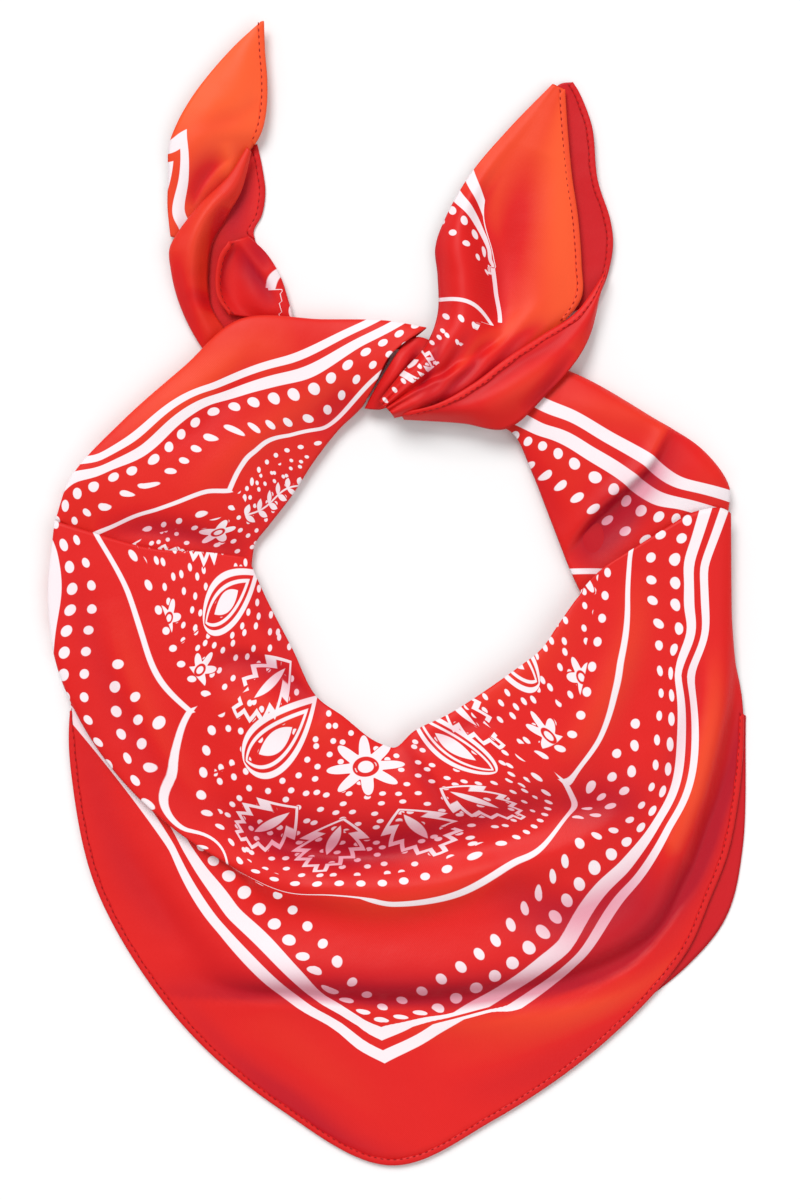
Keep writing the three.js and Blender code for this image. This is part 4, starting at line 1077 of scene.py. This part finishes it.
def sheet_piece(name, net, node, slot, printed=None, spacing=1.0, lowest=0.6, folds=(),
                painted_light_and_shade=0.0, shape=None, most_apart=HALF_SIDE):
    """A stretch of cloth: its surface, kept above what it lies on, in place of a CAD node.

    printed gives each point's place on the flat square, folds its creases, tone the painted light and shade
    of its colour as a number or a function of the place down and across, and shape what else raises it.
    most_apart is in mm, as in grid_mesh. Its mean width and length are worked out, and not used further.
    """
    grid, down, across = surface(net, spacing)
    # light is each point's painted light and shade: painted shade in folds, painted highlights on ridges, and
    # the piece's own painted light and shade.
    rise, light = creases(grid, folds)
    light += painted_light_and_shade(down, across) if callable(painted_light_and_shade) else painted_light_and_shade
    grid[..., 2] += rise if shape is None else shape(down, across, rise)
    grid[..., 2] = np.maximum(grid[..., 2], lowest)
    uv = None
    if printed is not None:
        uv = printed(grid.reshape(-1, 3)[:, :2], down.ravel(), across.ravel()) / (2 * HALF_SIDE) + 0.5
    piece = grid_mesh(name, grid, uv, np.clip(light, -1, 1), most_apart=most_apart)
    wall = piece.modifiers.new("thickness", "SOLIDIFY")
    wall.thickness = cloth_settings().thickness
    wall.offset = 0
    dress(piece, satin(printed is not None), slot, node)
    flat = [np.linalg.norm(np.diff(grid, axis=k), axis=-1).sum(axis=k).mean() * MM for k in (1, 0)]


# The hems: name, CAD node, painted light and shade (below 0 painted shade, above 0 painted light, as on the
# cloth each lies on), the cloth's net, the side of the net that is sewn and the rows it spans.
HEMS = (
    ("sewn_hem_front", "hem_front", -0.15, DRAPE_EDGE, -1, (2, 13)),
    ("sewn_hem_right_front", "hem_tail_right", 0.65, RIGHT_END_FRONT, -1, (3, 9)),
    ("sewn_hem_right_back", "hem_tail_right_back", -0.3, RIGHT_END_BACK, -1, None),
    ("sewn_hem_right_flap", "hem_tail_right_flap", 0.0, RIGHT_END_FLAP, 0, None),
    ("sewn_hem_left_leaf", "hem_tail_left", 0.8, LEFT_END_LEAF, -1, (0, 14 / 3)),
    ("sewn_hem_left_back", "hem_tail_left_back", -0.25, LEFT_END_BACK, -1, (0, 13 / 3)),
    ("sewn_hem_left_side", None, 0.05, LEFT_END_SIDE, 0, None),
)


def hem_edges():
    """For each hem: its name, node and painted light and shade, its cloth's edge, and the ways inward
    and up at each point.

    The edge is read from the cloth's own surface at a fine spacing, so the hem lies on it everywhere.
    """
    for name, node, painted_light_and_shade, net, side, reach in HEMS:
        grid, down, _ = surface(net, 1.0)
        if reach is not None:
            kept = (down[:, 0] >= reach[0]) & (down[:, 0] <= reach[1])
            grid = grid[kept]
        up = facing(grid)[:, side]
        up *= np.sign(up[:, 2:])
        edge = grid[:, side]
        inward = grid[:, side + (1 if side == 0 else -1)] - edge
        inward /= np.linalg.norm(inward, axis=1, keepdims=True)
        length = np.concatenate([[0], np.cumsum(np.linalg.norm(np.diff(edge, axis=0), axis=1))])
        even = np.linspace(0, length[-1], max(int(length[-1] / HEM["step"]), 4))
        yield name, node, painted_light_and_shade, *(np.stack([np.interp(even, length, part[:, k]) for k in range(3)], axis=-1)
                                  for part in (edge, inward, up))


def hem_grid(edge, inward, up):
    """A closed hem: a flattened oval carried along the edge, pinched a little at every stitch.

    The oval's half width and half height are given sizes times 1 plus a small wave along the edge.
    """
    along = np.arange(len(edge)) * HEM["step"]
    pucker = 1 + 0.10 * np.cos(2 * np.pi * along / HEM["stitch"]) + 0.06 * np.sin(along * 0.37)
    angle = np.linspace(0, 2 * np.pi, 11)
    taper = np.clip(np.minimum(along, along[-1] - along) / HEM["width"] + 0.2, 0, 1)
    wide = HEM["width"] / 2 * (1 + 0.05 * np.sin(along * 0.53 + 1.0)) * taper
    high = HEM["height"] / 2 * pucker
    middle = edge + inward * (wide - 0.3)[:, None] + up * HEM["lift"]
    across = (wide[:, None] * np.cos(angle))[..., None] * inward[:, None]
    above = (high[:, None] * np.sin(angle))[..., None] * up[:, None]
    return middle[:, None] + across + above


def stitch_grids(edge, inward, up):
    """Small beads of thread along the hem's inner side, one to each stitch, as rings of points.

    Each bead is an oval along the edge, sunk half into the hem: its radius is the sine of the share along it.
    """
    stride = int(round(HEM["stitch"] / HEM["step"]))
    place = np.arange(stride // 2, len(edge) - 2, stride)
    ahead = edge[place + 1] - edge[place - 1]
    ahead /= np.linalg.norm(ahead, axis=1, keepdims=True)
    height = HEM["lift"] + HEM["height"] * 0.36
    middle = edge[place] + inward[place] * (HEM["width"] - 0.75) + up[place] * height
    share = np.linspace(0.06, 0.94, 5)
    turn = np.linspace(0, 2 * np.pi, 7)[:-1]
    long = (share - 0.5)[:, None] * HEM["stitch"] * 0.62
    thick = np.sin(np.pi * share)[:, None] * HEM["thread"] / 2
    return (middle[:, None, None] + long[None, ..., None] * ahead[:, None, None]
            + (thick * np.cos(turn))[None, ..., None] * inward[place][:, None, None]
            + (thick * np.sin(turn))[None, ..., None] * up[place][:, None, None])


def beads_mesh(name, rings):
    """One mesh of many closed beads: rings of points joined by quads, and each end filled."""
    count, steps, around = rings.shape[:3]
    index = np.arange(count * steps * around).reshape(count, steps, around)
    after = np.roll(index, -1, axis=2)
    quads = np.stack([index[:, :-1], after[:, :-1], after[:, 1:], index[:, 1:]], axis=-1).reshape(-1, 4)
    ends = np.concatenate([index[:, 0, ::-1], index[:, -1]])
    return new_piece(name, rings, quads.tolist() + ends.tolist())


def drape_map(plan, down, across):
    """The drape's map: one plate for the swag and its right side, and one for the panel beneath them.

    The panel's plate holds past the crest on the left, where the swag hangs over, and below the fold that
    crosses the front. down and across are places counted in the drape's sections and columns.
    """
    upper = thin_plate(*landmarks(DRAPE_MARKS, DRAPE_LINES))
    lower = thin_plate(*landmarks(PANEL_DOTS, PANEL_LINES + PANEL_EDGE))
    fold = from_photo(smooth_line(FRONT_FOLD))
    apart, _ = distance_to_line(plan, fold)
    below = soft_step(0.5 - apart / 1.2) * (plan[:, 0] > fold[0, 0])
    past_crest = soft_step((across - 4.15) / 0.15) * soft_step(7.2 - down)
    share = np.maximum(below, past_crest)[:, None]
    return upper(plan) * (1 - share) + lower(plan) * share


def plate_map(marks, lines):
    """A map by one plate, for a piece whose print runs on without a break."""
    plate = thin_plate(*landmarks(marks, lines))
    return lambda plan, down, across: plate(plan)


def right_end_map(plan, down, across):
    """The right end's map: near the knot the stripes turn under at the valley, which is column 2.

    There the last strip before the valley is the outer stripe seen edge on, and the strip before that is
    plain. Past the valley the plain border alone shows.
    """
    place = thin_plate(*landmarks(RIGHT_END_MARKS, RIGHT_END_LINES), 0.002)(plan)
    depth, plain, border = place[:, 0], 240, 290
    beside_roll = down < 4.7
    depth = np.where((across > 1.4) & beside_roll, np.clip(depth, 200, 250), depth)
    depth = np.where((across > 1.4) & (down < 3.1), plain, depth)
    depth = np.where((across > 1.9) & beside_roll & (down > 3.2), ROWS["outer"], depth)
    place[:, 0] = np.where(across > 2.04, np.maximum(depth, border), depth)
    return place


def left_side_map(plan, down, across):
    """The map of the left end's curled side: a bit of the frame line at its right, then plain cloth."""
    place = thin_plate(*landmarks((), LEFT_SIDE_LINES))(plan)
    past = (plan[:, 0] < -57.5) | ((plan[:, 0] < -50) & (plan[:, 1] < 129))
    place[past] = on_cloth("left", 0.0, ROWS["plain"])
    return place


class BANDANA_OT_front(bpy.types.Operator):
    """Make the front half of the folded square, draped from the neck edge to the hem"""
    bl_idname = "bandana.front"
    bl_label = "Front drape"

    def execute(self, context):
        sheet_piece("front_cloth", section_net(DRAPE), "front_drape", "red_satin",
                    drape_map, 1.6, 2.1, DRAPE_CREASES, 0.0, calm_edge)
        return {"FINISHED"}


class BANDANA_OT_bands(bpy.types.Operator):
    """Make the rolled neck band on each side"""
    bl_idname = "bandana.bands"
    bl_label = "Neck bands"

    def execute(self, context):
        for node, sections, marks, lines, folds in (
            ("left_band", LEFT_BAND, LEFT_BAND_MARKS, LEFT_BAND_LINES, LEFT_BAND_CREASES),
            ("right_band", RIGHT_BAND, RIGHT_BAND_MARKS, RIGHT_BAND_LINES, RIGHT_BAND_CREASES),
        ):
            # The bands take a faint painted light of 0.05.
            sheet_piece(node + "_cloth", section_net(sections), node, "red_satin",
                        plate_map(marks, lines), 1.3, 2.1, folds, 0.05)
        return {"FINISHED"}


class BANDANA_OT_back(bpy.types.Operator):
    """Make the back half of the square and the folded layers beside the neck"""
    bl_idname = "bandana.back"
    bl_label = "Back half and folds"

    def execute(self, context):
        # The back half takes a painted shade of -0.5 where it lies beneath the front.
        sheet_piece("back_cloth", back_net(), "back_half", "red_satin_reverse", spacing=2.0, painted_light_and_shade=-0.5)
        grid = surface(folded_net(), 2.0)[0]
        grid[..., 2] = np.maximum(grid[..., 2], 0)
        # The folded layers beside the neck take a deeper painted shade of -0.7.
        folds = grid_mesh("inner_folds", grid, None, -0.7, True)
        dress(folds, satin(False), "red_satin_reverse", "neck_folds")
        return {"FINISHED"}


class BANDANA_OT_knot(bpy.types.Operator):
    """Make the turn of cloth at the knot"""
    bl_idname = "bandana.knot"
    bl_label = "Knot"

    def execute(self, context):
        # The knot wrap takes a faint painted shade of -0.15.
        sheet_piece("knot_wrap_cloth", KNOT_WRAP, "knot_wrap", "red_satin",
                    spacing=0.8, folds=KNOT_CREASES, painted_light_and_shade=-0.15)
        return {"FINISHED"}


class BANDANA_OT_right_end(bpy.types.Operator):
    """Make the right free end: its printed front, its back layer and its lower flap"""
    bl_idname = "bandana.right_end"
    bl_label = "Right end"

    def execute(self, context):
        # The back layer takes a painted shade of -0.45; the front takes painted light through its single
        # layer.
        for name, net, slot, printed, folds, painted_light_and_shade, shape in (
            ("front", RIGHT_END_FRONT, "red_satin_single", right_end_map, RIGHT_END_CREASES, right_end_painted_light,
             knot_gathers),
            ("back", RIGHT_END_BACK, "red_satin_reverse", None, (), -0.45, None),
            ("flap", RIGHT_END_FLAP, "red_satin", None, FLAP_CREASES, 0.0, None),
        ):
            sheet_piece("right_end_" + name, net, "tail_right_" + name, slot, printed, 0.9, 0.6, folds,
                        painted_light_and_shade, shape, END_FOLD)
        return {"FINISHED"}


class BANDANA_OT_left_end(bpy.types.Operator):
    """Make the left free end: its pointed leaf, back layer, front roll and curled side"""
    bl_idname = "bandana.left_end"
    bl_label = "Left end"

    def execute(self, context):
        end_map = plate_map((), LEFT_END_LINES)
        # Painted shade on the back layer (-0.3) and the side (-0.1), painted light on the roll (0.15) and on
        # the single-layer leaf.
        for name, net, slot, printed, folds, painted_light_and_shade in (
            ("leaf", LEFT_END_LEAF, "red_satin_single", end_map, LEFT_LEAF_CREASES, left_leaf_painted_light),
            ("back", LEFT_END_BACK, "red_satin_reverse", None, LEFT_BACK_CREASES, -0.3),
            ("roll", LEFT_END_ROLL, "red_satin", None, LEFT_ROLL_CREASES, 0.15),
            ("side", LEFT_END_SIDE, "red_satin", left_side_map, LEFT_SIDE_CREASES, -0.1),
        ):
            sheet_piece("left_end_" + name, net, "tail_left_" + name, slot, printed, 1.0, 0.6, folds,
                        painted_light_and_shade, None, END_FOLD)
        return {"FINISHED"}


class BANDANA_OT_hems(bpy.types.Operator):
    """Make the turned hems along the edges that show, with their stitches"""
    bl_idname = "bandana.hems"
    bl_label = "Hems and stitches"

    def execute(self, context):
        stitches = []
        for name, node, painted_light_and_shade, edge, inward, up in hem_edges():
            grid = hem_grid(edge, inward, up)
            dress(grid_mesh(name, grid, None, painted_light_and_shade, True), satin(False), "hem_satin", node)
            stitches.append(stitch_grids(edge, inward, up))
        dress(beads_mesh("hem_stitches", np.concatenate(stitches)), thread(), "hem_satin")
        return {"FINISHED"}


class BANDANA_OT_stage(bpy.types.Operator):
    """Make the pale floor, the soft studio lights and the camera straight above"""
    bl_idname = "bandana.stage"
    bl_label = "Floor, lights and camera"

    def execute(self, context):
        stage = context.scene.bandana_stage
        finish = Finish("pale floor")
        grain = finish.texture("Noise", 30.0)
        colour = finish.blend(grain, opaque((0.9, 0.9, 0.9)), opaque((0.93, 0.93, 0.93)))
        corners = np.array(((-1, -1, 0), (1, -1, 0), (1, 1, 0), (-1, 1, 0))) * stage.floor_size / (2 * MM)
        floor = new_piece("floor", corners, [(0, 1, 2, 3)])
        floor.data.materials.append(finish.surface(colour, 0.8, grain, 0.0001, 0.0))
        for name, place, strength, softness in (
            ("key light", (-0.28, 0.58, 0.80), stage.key_strength, 0.55),
            ("fill light", (0.55, -0.35, 1.0), stage.key_strength * 0.30, 0.9),
        ):
            lamp = bpy.data.lights.new(name, "SUN")
            lamp.energy = strength
            lamp.angle = softness
            light = bpy.data.objects.new(name, lamp)
            light.location = place
            away = np.array(place) / np.linalg.norm(place)
            light.rotation_euler = (float(np.arccos(away[2])), 0.0, float(np.arctan2(away[0], -away[1])))
            context.scene.collection.objects.link(light)
        world = bpy.data.worlds.new("studio")
        world.use_nodes = True
        background = world.node_tree.nodes["Background"]
        background.inputs["Color"].default_value = (1, 1, 1, 1)
        background.inputs["Strength"].default_value = stage.sky
        context.scene.world = world
        context.scene.view_settings.view_transform = "Standard"
        lens = bpy.data.cameras.new("camera above")
        lens.sensor_width = 36.0
        lens.lens = stage.lens
        camera = bpy.data.objects.new("camera above", lens)
        camera.location = (0.00085, -0.0032, stage.camera_height)
        context.scene.collection.objects.link(camera)
        context.scene.camera = camera
        return {"FINISHED"}


class BandanaCloth(bpy.types.PropertyGroup):
    """Sizes and colours of the cloth, and the colours of its painted shade and painted light"""
    thickness: FloatProperty(name="Thickness", description="Thickness of the satin", default=0.0005,
                             unit="LENGTH")
    face: FloatVectorProperty(name="Face", description="Red of the printed side", subtype="COLOR",
                              default=linear((220, 27, 24)))
    # Painted shade: the dark red mixed in where folds lie in shade.
    painted_shade: FloatVectorProperty(name="Folds", description="Red in the deepest folds", subtype="COLOR",
                              default=linear((176, 6, 32)))
    # Painted light: the warm red mixed in where one layer lets light through and on lit ridges.
    painted_light: FloatVectorProperty(name="Single layer", description="Red where one layer lets light through",
                              subtype="COLOR", default=linear((248, 92, 44)))
    white: FloatVectorProperty(name="Print", description="White of the print", subtype="COLOR",
                               default=linear((245, 232, 236)))
    # Painted shade on the white print in folds.
    print_in_painted_shade: FloatVectorProperty(name="Print in folds", description="White of the print in folds",
                                        subtype="COLOR", default=linear((222, 150, 166)))
    thread: FloatVectorProperty(name="Thread", description="Red of the sewing thread", subtype="COLOR",
                                default=linear((162, 12, 20)))


class BandanaStage(bpy.types.PropertyGroup):
    """Sizes and strengths of the studio"""
    floor_size: FloatProperty(name="Floor", description="Side of the floor", default=6.0, unit="LENGTH")
    key_strength: FloatProperty(name="Key light", description="Strength of the key light", default=2.15)
    sky: FloatProperty(name="Sky", description="Strength of the white surroundings", default=0.42)
    camera_height: FloatProperty(name="Camera height", description="Height of the camera above the floor",
                                 default=1.6, unit="LENGTH")
    lens: FloatProperty(name="Lens", description="Focal length in mm", default=112.2)


OPERATORS = (BANDANA_OT_stage, BANDANA_OT_front, BANDANA_OT_bands, BANDANA_OT_back, BANDANA_OT_knot,
             BANDANA_OT_right_end, BANDANA_OT_left_end, BANDANA_OT_hems)


class BANDANA_PT_panel(bpy.types.Panel):
    """Lists the bandana's pieces and its settings"""
    bl_idname = "BANDANA_PT_panel"
    bl_label = "Bandana"
    bl_space_type = "VIEW_3D"
    bl_region_type = "UI"
    bl_category = "Bandana"

    def draw(self, context):
        for group in (context.scene.bandana_cloth, context.scene.bandana_stage):
            for name in group.__annotations__:
                self.layout.prop(group, name)
        for operator in OPERATORS:
            self.layout.operator(operator.bl_idname)


CLASSES = (BandanaCloth, BandanaStage) + OPERATORS + (BANDANA_PT_panel,)


def register():
    for cls in CLASSES:
        bpy.utils.register_class(cls)
    bpy.types.Scene.bandana_cloth = PointerProperty(type=BandanaCloth)
    bpy.types.Scene.bandana_stage = PointerProperty(type=BandanaStage)


def unregister():
    del bpy.types.Scene.bandana_stage
    del bpy.types.Scene.bandana_cloth
    for cls in reversed(CLASSES):
        bpy.utils.unregister_class(cls)


def main():
    register()
    for operator in OPERATORS:
        group, name = operator.bl_idname.split(".")
        getattr(getattr(bpy.ops, group), name)()


if __name__ == "__main__":
    main()
